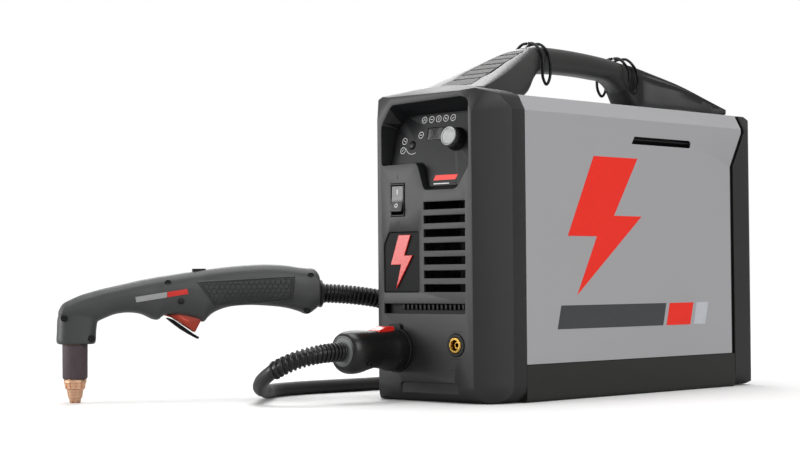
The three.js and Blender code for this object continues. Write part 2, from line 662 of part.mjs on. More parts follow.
function handle() {
  const rings = HANDLE_SECTIONS.map(([y, low, high, half, power]) => (
    ring([0, y, (low + high) / 2], [1, 0, 0], [0, 0, 1], half, (high - low) / 2, power, 20)
  ));
  return cut(skin(rings), bezelEnvelope(FRONT_SEAM, -GAP), coverSection(-250, 250, -GAP), padRecess());
}

const PAD = { halfW: 22, y0: -176, y1: -84, depth: 3 };

/** Height of the strut's top at a station, straight between the handle's sections. */
function strutTop(y) {
  const next = HANDLE_SECTIONS.findIndex(([at]) => at > y);
  const [a, b] = [HANDLE_SECTIONS[next - 1], HANDLE_SECTIONS[next]];
  return a[2] + ((b[2] - a[2]) * (y - a[0])) / (b[0] - a[0]);
}

function padEdge(lift) {
  const stations = [PAD.y0, -140, -110, PAD.y1];
  return stations.map((y) => [y, strutTop(y) + lift]);
}

function padRecess() {
  const edge = [...padEdge(-PAD.depth), ...padEdge(10).reverse()];
  return meet(prism('x', -PAD.halfW, PAD.halfW, edge), padPlan(0));
}

/** Plan of the pad, which narrows with the strut. */
function padPlan(inset) {
  return prism('z', 290, 370, [
    [-PAD.halfW, PAD.y0, 3], [PAD.halfW, PAD.y0, 3], [PAD.halfW - 9, PAD.y1, 3], [-PAD.halfW + 9, PAD.y1, 3],
  ], { inset });
}

/** Grip pad on the front strut, with grooves across it. */
function handlePad() {
  const edge = [...padEdge(-PAD.depth + GAP), ...padEdge(0.2).reverse()];
  const pad = meet(prism('x', -PAD.halfW, PAD.halfW, edge), padPlan(0.4));
  const grooves = Array.from({ length: 6 }, (_, i) => {
    const y = -158 + i * 13;
    const z = strutTop(y);
    return box([-40, 40], [y - 1.2, y + 1.2], [z - 1, z + 6]);
  });
  return cut(pad, ...grooves);
}

/** Bent wire clip: one hairpin hangs on each side of the grip, and two wires cross over the top. */
function wireClip({ name, y, spacing, halfX: side, topZ, bottomZ }) {
  const half = spacing / 2;
  const over = (dy, sign) => [
    [sign * 7, y + dy, topZ - 0.6], [sign * 14.5, y + dy, topZ - 6], [sign * side, y + dy, topZ - 17],
    [sign * side, y + dy, bottomZ + 7],
  ];
  const route = curveThrough([
    [1.2, y - half, topZ], ...over(-half, 1), [side, y, bottomZ], ...over(half, 1).reverse(),
    [0, y + half, topZ], ...over(half, -1), [-side, y, bottomZ], ...over(-half, -1).reverse(),
    [-1.2, y - half, topZ],
  ]);
  return part(name, MATERIAL.wire, tube(route, CLIP_R, 6, 36));
}

// ---- Inside the case ----------------------------------------------------------------------------

function heatSink() {
  const base = box([-6, 0], [-120, 60], [70, 190]);
  const fins = Array.from({ length: 9 }, (_, i) => {
    const z = 72 + i * 14;
    return box([-0.5, 40], [-120, 60], [z, z + 2.5]);
  });
  return join(base, ...fins);
}

function powerBoard() {
  const board = box([-13.5, -11.5], [-130, 150], [50, 265]);
  const capacitors = [0, 1, 2].map((i) => rod('x', 15, -45, -13, [0, -90 + i * 36, 220], 16));
  const modules = [0, 1].map((i) => box([-22, -13], [-40 + i * 60, -5 + i * 60], [110, 150]));
  return join(board, ...capacitors, ...modules);
}

function transformer() {
  const core = box([8, 62], [80, 140], [42, 112]);
  const winding = box([2, 68], [90, 130], [54, 100]);
  return join(core, winding);
}

function inductor() {
  const profile = [[14, -13], [26, -16], [30, -13], [30, 13], [26, 16], [14, 13], [14, -13]];
  return turned('x', profile, [38, 40, 232], 20);
}

function airFilter() {
  const bowl = turned('z', [[0, -44], [10, -44], [17, -36], [17, 0], [0, 0]], [-56, 176, 108], 16);
  const head = box([-72, -41], [158, 190], [107, 140]);
  const port = rod('y', 7, 189, 200, [INLET.x, 0, INLET.z], 16);
  return join(bowl, head, port);
}

function gasValve() {
  const body = box([-66, -38], [96, 128], [110, 134]);
  const coil = rod('z', 13, 133, 160, [-52, 112, 0], 16);
  return join(body, coil);
}

function internals() {
  const divider = box([-9.5, -8], [-160, 165], [40, 286]);
  const hose = curveThrough([
    [-52, 95, 122], [-52, 60, 120], [-50, 0, 100], [-42, -80, 66], [-38, -140, 52], [-38, -189, 50],
  ]);
  return [
    part('centre_divider', MATERIAL.aluminium, divider),
    part('power_board', MATERIAL.board, powerBoard()),
    part('heat_sink', MATERIAL.aluminium, heatSink()),
    part('main_transformer', MATERIAL.steel, transformer()),
    part('output_inductor', MATERIAL.winding, inductor()),
    part('air_filter', MATERIAL.clear, airFilter()),
    part('gas_valve', MATERIAL.brass, gasValve()),
    part('gas_hose', MATERIAL.rubber, tube(hose, 4, 8, 20)),
  ];
}

// ---- Torch, in its own frame: x runs back from the nozzle, z up -----------------------------------

/** Handle stations along x: [x, low z, high z]. */
const GRIP_STATIONS = [
  [-12.6, 84, 90], [-9, 82, 97], [0, 81, 102], [9, 80, 105.8], [22, 79, 109.7], [31, 82.6, 112],
  [42, 86.6, 114.4], [56, 87.9, 117.5], [68, 86, 120.1], [78.7, 81, 122], [84, 80.4, 123],
  [89, 84.2, 123.7], [107, 84.2, 126.4], [124, 80, 128.8], [129.4, 77.5, 129.6], [133, 81.6, 130.1],
  [139, 86.6, 130.9], [153, 92, 132.5], [172, 94, 134], [192, 93.3, 134.8], [213, 91, 133.7],
  [227, 87.2, 131.6], [235.3, 84.2, 130.7], [242, 88, 130.2], [246.6, 92, 125],
];

/** Head stations up z: [z, front x, back x]. */
const HEAD_STATIONS = [[57.6, -13.2, 20.4], [60, -15.2, 22.6], [70, -14.8, 23], [84, -13.9, 24.8], [96, -9, 26]];

function gripSolid(inset, stations, count) {
  return skin(stations.map(([x, low, high]) => (
    ring([x, 0, (low + high) / 2], [0, 1, 0], [0, 0, 1],
      TORCH_HALF - inset, (high - low) / 2 - inset, 2.7, count)
  )));
}

function headSolid(inset, count) {
  return skin(HEAD_STATIONS.map(([z, front, back]) => (
    ring([(front + back) / 2, 0, z], [1, 0, 0], [0, 1, 0],
      (back - front) / 2 - inset, TORCH_HALF - 1 - inset, 3.2, count)
  )));
}

function torchShells() {
  const hollowStations = GRIP_STATIONS.filter(([x]) => x > -1 && x < 240 && ![22, 31, 56, 78.7, 84, 89, 124, 129.4, 133, 153, 192].includes(x));
  const whole = cut(
    join(gripSolid(0, GRIP_STATIONS, 14), headSolid(0, 14)),
    gripSolid(2.6, hollowStations, 8),
    rod('z', 13.2, 40, 100.5, [NOZZLE_X, 0, 0], 20),
    box([88.6, 127.2], [-7, 7], [60, 110]),
    box([118.5, 139.5], [-4, 4], [126, 140]),
    rod('x', 9.4, 236, 260, [0, 0, 105], 16),
  );
  const keep = (sign) => meet(whole, box([-30, 260], [sign > 0 ? GAP / 2 : -40, sign > 0 ? 40 : -GAP / 2], [40, 150]));
  return [
    part('torch_shell_left', MATERIAL.torch, keep(1)),
    part('torch_shell_right', MATERIAL.torch, keep(-1)),
  ];
}

/** Red trigger, in its own frame about its pivot pin. */
const TRIGGER_EDGE = [[-11, -2], [-3, -4.4], [19.8, -19.4], [25.5, -8.6], [26, 2], [4, 3.6], [-8, 2.4]];
const LEVER_EDGE = [
  [-8, -4.6], [-2.4, -9.4], [6, -15.6], [14, -20.6], [23.4, -25.6], [24.2, -23.6], [19, -20.6], [-1, -6.2], [-6.5, -4],
];

function trigger() {
  const [x, z] = TRIGGER_PIVOT;
  return prism('y', -6.4, 6.4, TRIGGER_EDGE.map(([a, b]) => [a + x, b + z]), { round: 0.8 });
}

function safetyLever() {
  const [x, z] = TRIGGER_PIVOT;
  return prism('y', -5.4, 5.4, LEVER_EDGE.map(([a, b]) => [a + x, b + z - 0.6]), { round: 0.5 });
}

function triggerSpring() {
  const turns = 4;
  const points = Array.from({ length: turns * 8 + 1 }, (_, i) => {
    const angle = (i / 8) * 2 * Math.PI;
    return [117 + 3 * Math.cos(angle), 3 * Math.sin(angle), 91 + (i / 8) * 2.2];
  });
  return tube(curveThrough(points), 0.6, 5, turns * 8);
}

function workingParts() {
  const at = [NOZZLE_X, 0, 0];
  const shield = turned('z', [
    [1.7, 0], [5.4, 0], [6.4, 4], [8.8, 13], [11.2, 21], [11.2, 23], [9.4, 23], [7.4, 13], [5, 4], [1.7, 3], [1.7, 0],
  ], at);
  const nozzle = turned('z', [
    [0.8, 3.6], [4.2, 4.6], [6.6, 13], [8.4, 22], [8.4, 30], [6.4, 30], [6.4, 14], [2.4, 8], [0.8, 7], [0.8, 3.6],
  ], at, 20);
  const electrode = turned('z', [[0, 8.6], [1.8, 8.6], [4.6, 16], [4.6, 44], [0, 44]], at, 16);
  const swirlRing = tubeRing('z', 5, 8.8, 30.4, 43, at, 20);
  const cap = turned('z', [
    [9.6, 23.4], [11.6, 23.4], [12.4, 25], [12.4, 57.2], [10.4, 57.2], [10.4, 28], [9.6, 27], [9.6, 23.4],
  ], at);
  const body = join(
    rod('z', 9.9, 44.4, 92, at),
    rod('x', 4.5, 0, 80, [NOZZLE_X, 0, 95], 12),
    rod('z', 6, 90, 95.7, at, 12),
  );
  return [
    part('shield', MATERIAL.copper, shield),
    part('nozzle', MATERIAL.copper, nozzle),
    part('electrode', MATERIAL.copper, electrode),
    part('swirl_ring', MATERIAL.cap, swirlRing),
    part('retaining_cap', MATERIAL.cap, cap),
    part('torch_main_body', MATERIAL.brass, body),
  ];
}

function torch() {
  const group = new THREE.Group();
  group.position.set(...TORCH_AT);
  group.rotation.z = TORCH_TURN;
  const collar = turned('x', [
    [7.5, 237], [9, 237], [9, 247.2], [13.6, 247.2], [14.2, 250.6], [7.5, 250.6], [7.5, 237],
  ], [0, 0, 105], 16);
  group.add(
    ...torchShells(),
    ...workingParts(),
    part('trigger', MATERIAL.red, trigger()),
    part('safety_lever', MATERIAL.darkPlastic, safetyLever()),
    part('trigger_spring', MATERIAL.steel, triggerSpring()),
    part('start_switch', MATERIAL.darkPlastic, box([108, 126], [-4, 4], [101, 111])),
    part('torch_lock_slide', MATERIAL.darkPlastic, box([119, 132], [-3.6, 3.6], [126.6, 131])),
    part('torch_collar', MATERIAL.rubber, collar),
  );
  return group;
}

// ---- Plug and lead ------------------------------------------------------------------------------

/** Plug stations along y: [y, centre z, half width, half height]. */
const PLUG_STATIONS = [
  [PLUG.seat, 50, 20.4, 20.4], [-234, 50, 20.2, 20.2], [-243, 50.8, 19, 18.8], [-256, 51.4, 18.6, 18],
  [-268, 50.6, 19.4, 19.2], [-279, 49.6, 20, 20.6], [-288, 49.2, 19.4, 20.2], [-293, 49.4, 17.4, 18], [PLUG.rear, 49.6, 14.5, 15],
];

function plugBody() {
  const shell = skin(PLUG_STATIONS.map(([y, z, halfW, halfH]) => (
    ring([PLUG.x, y, z], [1, 0, 0], [0, 0, 1], halfW, halfH, 2.3, 20)
  )));
  const nose = rod('y', PLUG.noseR, -230, -197, [PLUG.x, 0, PLUG.z]);
  const pocket = box([PLUG.x - 8.4, PLUG.x + 8.4], [-254.4, -231.6], [58, 80]);
  return cut(join(shell, nose), pocket);
}

function releaseButton() {
  const edge = [[-254, 60.6], [-232, 60.6], [-232, 72.8, 2], [-240, 73.6, 3], [-254, 69.4, 2]];
  return prism('x', PLUG.x - 8, PLUG.x + 8, edge);
}

function lead() {
  const front = curveThrough(LEAD_FRONT);
  const rear = curveThrough(LEAD_REAR);
  const frontShare = FRONT_BOOT / front.getLength();
  const rearShare = 1 - REAR_BOOT / rear.getLength();
  const [frontCut, rearCut] = [GAP / front.getLength(), GAP / rear.getLength()];
  const { x, y, inner, outer, height } = COIL;
  const round = 12;
  const coil = turned('z', [
    [inner, round], [inner + round, 0], [outer - round, 0], [outer, round],
    [outer, height - round], [outer - round, height], [inner + round, height], [inner, height - round],
    [inner, round],
  ], [x, y, 0], 24);
  return [
    part('plug_strain_relief', MATERIAL.rubber, tube(new Stretch(front, 0, frontShare), BOOT_R, 10, 14)),
    part('lead_from_plug', MATERIAL.rubber, tube(new Stretch(front, frontShare + frontCut, 1), LEAD_R, 8, 26)),
    part('lead_coil', MATERIAL.rubber, coil),
    part('lead_to_torch', MATERIAL.rubber, tube(new Stretch(rear, 0, rearShare - rearCut), LEAD_R, 8, 12)),
    part('torch_strain_relief', MATERIAL.rubber, tube(new Stretch(rear, rearShare, 1), BOOT_R, 10, 10)),
  ];
}

// ---- Assembly -----------------------------------------------------------------------------------

const unit = new THREE.Group();
unit.add(
  part('front_bezel', MATERIAL.bezel, frontBezel()),
  controls(),
  part('switch_frame', MATERIAL.darkPlastic, switchFrame()),
  rocker(),
  part('front_louvre', MATERIAL.darkPlastic, frontLouvre()),
  part('slot_comb', MATERIAL.darkPlastic, slotComb()),
  ...emblem(),
  ...frontFittings(),
  part('cover', MATERIAL.cover, cover()),
  part('side_louvre_right', MATERIAL.darkPlastic, sideLouvre(1)),
  part('side_louvre_left', MATERIAL.darkPlastic, sideLouvre(-1)),
  part('base_tray', MATERIAL.bezel, baseTray()),
  part('rear_bezel', MATERIAL.bezel, rearBezel()),
  part('rear_seam_strip', MATERIAL.darkPlastic, rearStrip()),
  part('rear_grille', MATERIAL.darkPlastic, rearGrille()),
  ...fan(),
  ...rearFittings(),
  part('handle', MATERIAL.bezel, handle()),
  part('handle_pad', MATERIAL.darkPlastic, handlePad()),
  ...CLIPS.map(wireClip),
  ...internals(),
  part('plug_body', MATERIAL.torch, plugBody()),
  part('release_button', MATERIAL.red, releaseButton()),
  ...lead(),
  torch(),
);

export default unit;
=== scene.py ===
"""Plasma cutter unit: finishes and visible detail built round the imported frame, in metres."""

import functools
import logging
import math
from dataclasses import dataclass, field
from enum import Enum
from typing import Any, Sequence

import bmesh
import bpy
import numpy as np
from mathutils import Matrix, Vector


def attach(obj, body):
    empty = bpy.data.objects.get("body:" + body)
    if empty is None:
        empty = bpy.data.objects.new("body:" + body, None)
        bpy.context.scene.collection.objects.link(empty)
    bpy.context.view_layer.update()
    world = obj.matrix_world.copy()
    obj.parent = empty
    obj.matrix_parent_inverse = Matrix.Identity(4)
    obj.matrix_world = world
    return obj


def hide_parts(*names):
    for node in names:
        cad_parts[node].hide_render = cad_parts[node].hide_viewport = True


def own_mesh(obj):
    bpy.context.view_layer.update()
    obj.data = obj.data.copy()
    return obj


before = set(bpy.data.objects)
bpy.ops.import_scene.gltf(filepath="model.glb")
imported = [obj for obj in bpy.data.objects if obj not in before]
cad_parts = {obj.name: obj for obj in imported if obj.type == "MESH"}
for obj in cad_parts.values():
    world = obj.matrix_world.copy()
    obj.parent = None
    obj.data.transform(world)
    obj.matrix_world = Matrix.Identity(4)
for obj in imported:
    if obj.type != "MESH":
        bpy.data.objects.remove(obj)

log = logging.getLogger("plasma_cutter")

MM = 0.001
Colour = tuple[float, float, float]
Point = tuple[float, float, float]
Pair = tuple[float, float]

SHORTEST_EDGE = 0.15
FLAT_ANGLE = 1.2  # degrees under which neighbouring CAD triangles count as one face
CASE = "power_supply"
TORCH = "torch"


class Side(Enum):
    """A side of the case, as the sign of its X."""

    RIGHT = 1
    LEFT = -1


class Axis(Enum):
    """Axis of a turned shape, with the two directions across it."""

    X = ((0, 1, 0), (0, 0, 1), (1, 0, 0))
    Y = ((0, 0, 1), (1, 0, 0), (0, 1, 0))
    Z = ((1, 0, 0), (0, 1, 0), (0, 0, 1))


# ---- Shader nodes -------------------------------------------------------------------------------


def tint(code: str) -> Colour:
    """Linear colour of a six-digit sRGB code.

    Args:
        code: Red, green and blue as hexadecimal pairs.

    Returns:
        The colour in linear light.
    """
    parts = (int(code[i : i + 2], 16) / 255 for i in (0, 2, 4))
    return tuple(c / 12.92 if c <= 0.04045 else ((c + 0.055) / 1.055) ** 2.4 for c in parts)


def shade(colour: Colour, share: float) -> Colour:
    """The colour made darker or lighter by a share."""
    return tuple(min(1.0, c * share) for c in colour)


class Signal:
    """What leaves a shader node. Operators on a number add Math nodes."""

    def __init__(self, shader: "Shader", socket: bpy.types.NodeSocket) -> None:
        """Wraps a node's output socket."""
        self.shader = shader
        self.socket = socket

    def __add__(self, other: "Signal | float") -> "Signal":
        """Sum."""
        return self.shader.maths("ADD", self, other)

    def __sub__(self, other: "Signal | float") -> "Signal":
        """Difference."""
        return self.shader.maths("SUBTRACT", self, other)

    def __rsub__(self, other: float) -> "Signal":
        """Difference from a number."""
        return self.shader.maths("SUBTRACT", other, self)

    def __mul__(self, other: "Signal | float") -> "Signal":
        """Product."""
        return self.shader.maths("MULTIPLY", self, other)

    __radd__ = __add__
    __rmul__ = __mul__

    def band(self, low: float, high: float) -> "Signal":
        """Smooth step from 0 at low to 1 at high."""
        inputs = {"Value": self, "From Min": low, "From Max": high}
        return self.shader.node("ShaderNodeMapRange", {"interpolation_type": "SMOOTHSTEP"}, inputs)


class Shader:
    """Node tree of one material round its Principled BSDF."""

    def __init__(self, name: str, constants: dict[str, Any]) -> None:
        """Makes the material.

        Args:
            name: Material name.
            constants: Values of the shader's own sockets that are the same all over.
        """
        self.material = bpy.data.materials.new(name)
        self.material.use_nodes = True
        self.tree = self.material.node_tree
        self.surface = next(n for n in self.tree.nodes if n.type == "BSDF_PRINCIPLED")
        for socket, value in constants.items():
            self.drive(socket, value)

    def _set(self, socket: bpy.types.NodeSocket, value: Any) -> None:
        """Links a signal to a socket, or sets the socket's own value."""
        if isinstance(value, Signal):
            self.tree.links.new(value.socket, socket)
        elif socket.type == "RGBA":
            socket.default_value = (*value, 1.0)
        else:
            socket.default_value = value

    def drive(self, socket: str, value: Any) -> None:
        """Feeds one of the shader's sockets."""
        self._set(self.surface.inputs[socket], value)

    def node(
        self,
        kind: str,
        settings: dict[str, Any] | None = None,
        inputs: dict[str | int, Any] | None = None,
        output: str | int = 0,
    ) -> Signal:
        """Adds any node.

        Args:
            kind: Blender's node type.
            settings: Its own properties, set before its sockets.
            inputs: Values or signals by socket name or number.
            output: The socket to return.

        Returns:
            The signal that leaves the chosen output.
        """
        made = self.tree.nodes.new(kind)
        for key, value in (settings or {}).items():
            setattr(made, key, value)
        for key, value in (inputs or {}).items():
            self._set(made.inputs[key], value)
        return Signal(self, made.outputs[output])

    def maths(self, operation: str, *values: Signal | float) -> Signal:
        """One Math node."""
        return self.node("ShaderNodeMath", {"operation": operation}, dict(enumerate(values)))

    def spot(self, stretch: Point = (1, 1, 1), centre: Point = (0, 0, 0)) -> Signal:
        """Object coordinates in metres about a centre, stretched along each axis."""
        at = self.node("ShaderNodeTexCoord", output="Object")
        moved = self.node("ShaderNodeVectorMath", {"operation": "SUBTRACT"}, {0: at, 1: centre})
        return self.node("ShaderNodeVectorMath", {"operation": "MULTIPLY"}, {0: moved, 1: stretch})

    def coordinate(self, axis: str) -> Signal:
        """One object coordinate, in metres."""
        at = self.node("ShaderNodeTexCoord", output="Object")
        return self.node("ShaderNodeSeparateXYZ", None, {0: at}, axis)

    def noise(self, scale: float, detail: float = 2.0, at: Signal | None = None) -> Signal:
        """Cloudy value from 0 to 1 with that many features a metre."""
        inputs = {"Vector": at or self.spot(), "Scale": scale, "Detail": detail}
        return self.node("ShaderNodeTexNoise", None, inputs, "Fac")

    def cells(self, scale: float, feature: str = "F1", at: Signal | None = None) -> Signal:
        """Distance within scattered cells."""
        inputs = {"Vector": at or self.spot(), "Scale": scale}
        return self.node("ShaderNodeTexVoronoi", {"feature": feature}, inputs, "Distance")

    def mix(self, share: Signal | float, one: Any, other: Any) -> Signal:
        """Colour between two colours."""
        return self.node("ShaderNodeMix", {"data_type": "RGBA"}, {0: share, 6: one, 7: other}, 2)

    def bump(self, height: Signal, depth: float, strength: float = 1.0) -> Signal:
        """Normal of a surface raised by a height of 0 to 1 times a depth in metres."""
        inputs = {"Height": height, "Distance": depth, "Strength": strength}
        return self.node("ShaderNodeBump", None, inputs)

    def edges(self, reach: float) -> Signal:
        """1 at the piece's edges and corners, and 0 a reach away from them."""
        rounded = self.node("ShaderNodeBevel", {"samples": 4}, {"Radius": reach})
        straight = self.node("ShaderNodeNewGeometry", output="Normal")
        dot = {"operation": "DOT_PRODUCT"}
        facing = self.node("ShaderNodeVectorMath", dot, {0: rounded, 1: straight}, "Value")
        return (1 - facing).band(0.01, 0.22)


# ---- Finishes -----------------------------------------------------------------------------------


@dataclass(frozen=True)
class MouldedPlastic:
    """Moulded plastic: spark-eroded grain, cloudy flow marks, dust, paler rubbed edges."""

    name: str
    colour: Colour
    roughness: float = 0.5
    grain: float = 0.00007
    cell: float = 0.0008
    worn: float = 0.3
    gloss: float = 0.5

    def material(self) -> bpy.types.Material:
        """The Blender material."""
        s = Shader(self.name, {"Specular IOR Level": self.gloss})
        pits = s.cells(1 / self.cell)
        fine = s.noise(1.6 / self.cell, 3)
        flow = s.noise(14, 3)
        dust = s.noise(60, 5).band(0.45, 0.8)
        body = s.mix(flow, shade(self.colour, 0.84), shade(self.colour, 1.16))
        body = s.mix(fine.band(0.3, 0.75) * 0.22, body, shade(self.colour, 0.6))
        body = s.mix(dust * 0.12, body, shade(self.colour, 1.9))
        s.drive("Base Color", s.mix(s.edges(0.0011) * self.worn, body, shade(self.colour, 2.3)))
        s.drive("Roughness", self.roughness + (flow - 0.5) * 0.12 + (fine - 0.5) * 0.18)
        s.drive("Normal", s.bump(pits * 0.6 + fine * 0.7, self.grain))
        return s.material


@dataclass(frozen=True)
class SprayedSheet:
    """Sprayed sheet metal: orange peel, fine metallic fleck and faint handling marks."""

    name: str
    colour: Colour
    roughness: float = 0.42
    metallic: float = 0.3

    def material(self) -> bpy.types.Material:
        """The Blender material."""
        s = Shader(self.name, {"Coat Roughness": 0.22, "Specular IOR Level": 0.5})
        peel = s.noise(520, 2)
        fleck = s.cells(2600).band(0.0, 0.55)
        cloud = s.noise(5, 3)
        rubs = s.noise(90, 6, s.spot((1, 0.25, 1))).band(0.55, 0.8)
        body = s.mix(cloud, shade(self.colour, 0.93), shade(self.colour, 1.06))
        body = s.mix(fleck * 0.35, shade(self.colour, 1.25), body)
        s.drive("Base Color", s.mix(rubs * 0.08, body, shade(self.colour, 1.35)))
        s.drive("Metallic", self.metallic + (1 - fleck) * 0.2)
        s.drive("Roughness", self.roughness + (cloud - 0.5) * 0.1 + rubs * 0.08)
        s.drive("Coat Weight", 0.25 - rubs * 0.1)
        s.drive("Normal", s.bump(peel * 0.8 + fleck * 0.15, 0.00009))
        return s.material


@dataclass(frozen=True)
class Rubber:
    """Extruded or moulded rubber: matt, mottled, scuffed grey on its high spots."""

    name: str
    colour: Colour
    roughness: float = 0.6

    def material(self) -> bpy.types.Material:
        """The Blender material."""
        s = Shader(self.name, {"Specular IOR Level": 0.45, "Sheen Weight": 0.08})
        mottle = s.noise(70, 4)
        skin = s.noise(1800, 3)
        scuff = s.noise(160, 6).band(0.56, 0.78)
        body = s.mix(mottle, shade(self.colour, 0.75), shade(self.colour, 1.3))
        s.drive("Base Color", s.mix(scuff * 0.35, body, shade(self.colour, 2.6)))
        s.drive("Roughness", self.roughness + (mottle - 0.5) * 0.2 + scuff * 0.15)
        s.drive("Normal", s.bump(skin * 0.6 + mottle * 0.5, 0.00008))
        return s.material


@dataclass(frozen=True)
class BareMetal:
    """Turned, drawn or rolled metal: streaks along its working direction, light tarnish."""

    name: str
    colour: Colour
    roughness: float = 0.25
    streaks: Point = (60, 60, 1500)
    tarnish: float = 0.35
    metallic: float = 1.0

    def material(self) -> bpy.types.Material:
        """The Blender material."""
        s = Shader(self.name, {"Metallic": self.metallic})
        streak = s.noise(1, 4, s.spot(self.streaks))
        cloud = s.noise(120, 4)
        patina = s.noise(260, 6).band(0.5, 0.75)
        body = s.mix(streak.band(0.3, 0.7), shade(self.colour, 0.82), shade(self.colour, 1.1))
        s.drive("Base Color", s.mix(patina * self.tarnish, body, shade(self.colour, 0.5)))
        s.drive("Roughness", self.roughness + (streak - 0.5) * 0.2 + patina * 0.15 + cloud * 0.05)
        s.drive("Normal", s.bump(streak, 0.00003))
        return s.material


@dataclass(frozen=True)
class Enamel:
    """Smooth coloured face, printed or moulded: slight ripple, fine dust, rubbed edges."""

    name: str
    colour: Colour
    roughness: float = 0.3
    coat: float = 0.3
    gloss: float = 0.5

    def material(self) -> bpy.types.Material:
        """The Blender material."""
        s = Shader(self.name, {"Coat Roughness": 0.12, "Specular IOR Level": self.gloss})
        ripple = s.noise(160, 3)
        grain = s.noise(2400, 2)
        dust = s.noise(700, 6).band(0.6, 0.82)
        body = s.mix(ripple, shade(self.colour, 0.9), shade(self.colour, 1.08))
        s.drive("Base Color", s.mix(dust * 0.12, body, shade(self.colour, 1.6)))
        s.drive("Roughness", self.roughness + (ripple - 0.5) * 0.1 + dust * 0.1)
        s.drive("Coat Weight", self.coat * (1 - dust * 0.4))
        s.drive("Normal", s.bump(ripple * 0.8 + grain * 0.4, 0.00004))
        return s.material


@dataclass(frozen=True)
class Window:
    """Smoked display window with a faint cell grid under its gloss."""

    name: str
    colour: Colour

    def material(self) -> bpy.types.Material:
        """The Blender material."""
        s = Shader(self.name, {"Coat Roughness": 0.04, "Specular IOR Level": 0.6})
        at = s.spot((900, 900, 900))
        grid = s.node("ShaderNodeTexChecker", None, {"Vector": at, "Scale": 1.0}, "Fac")
        smear = s.noise(80, 5)
        body = s.mix(grid * 0.5, self.colour, shade(self.colour, 1.7))
        s.drive("Base Color", s.mix(smear * 0.15, body, shade(self.colour, 3)))
        s.drive("Roughness", 0.06 + smear.band(0.4, 0.8) * 0.12)
        s.drive("Coat Weight", 0.9 - smear * 0.2)
        s.drive("Normal", s.bump(smear, 0.00002))
        return s.material


@dataclass(frozen=True)
class Fibre:
    """Pressed fibre and resin: lengthwise strands in a dull mauve grey."""

    name: str
    colour: Colour

    def material(self) -> bpy.types.Material:
        """The Blender material."""
        s = Shader(self.name, {"Specular IOR Level": 0.35})
        strand = s.noise(1, 5, s.spot((2200, 2200, 90)))
        cloud = s.noise(110, 4)
        body = s.mix(strand.band(0.3, 0.7), shade(self.colour, 0.75), shade(self.colour, 1.25))
        s.drive("Base Color", s.mix(cloud * 0.3, body, shade(self.colour, 0.65)))
        s.drive("Roughness", 0.55 + (strand - 0.5) * 0.2)
        s.drive("Normal", s.bump(strand, 0.00012))
        return s.material


@dataclass(frozen=True)
class Banded:
    """Two colours in even bands across an axis: wound wire, stacked plates or a board's tracks."""

    name: str
    colour: Colour
    groove: Colour
    pitch: float
    across: str = "Z"
    roughness: float = 0.4
    metallic: float = 0.4

    def material(self) -> bpy.types.Material:
        """The Blender material."""
        s = Shader(self.name, {})
        turn = s.coordinate(self.across) * (2 * math.pi / self.pitch)
        wave = s.maths("SINE", turn + s.noise(40, 3) * 1.2) * 0.5 + 0.5
        cloud = s.noise(90, 4)
        body = s.mix(wave.band(0.1, 0.6), self.groove, self.colour)
        s.drive("Base Color", s.mix(cloud * 0.3, body, shade(self.colour, 0.6)))
        s.drive("Metallic", wave * self.metallic)
        s.drive("Roughness", self.roughness + (cloud - 0.5) * 0.2)
        s.drive("Normal", s.bump(wave, self.pitch * 0.25))
        return s.material


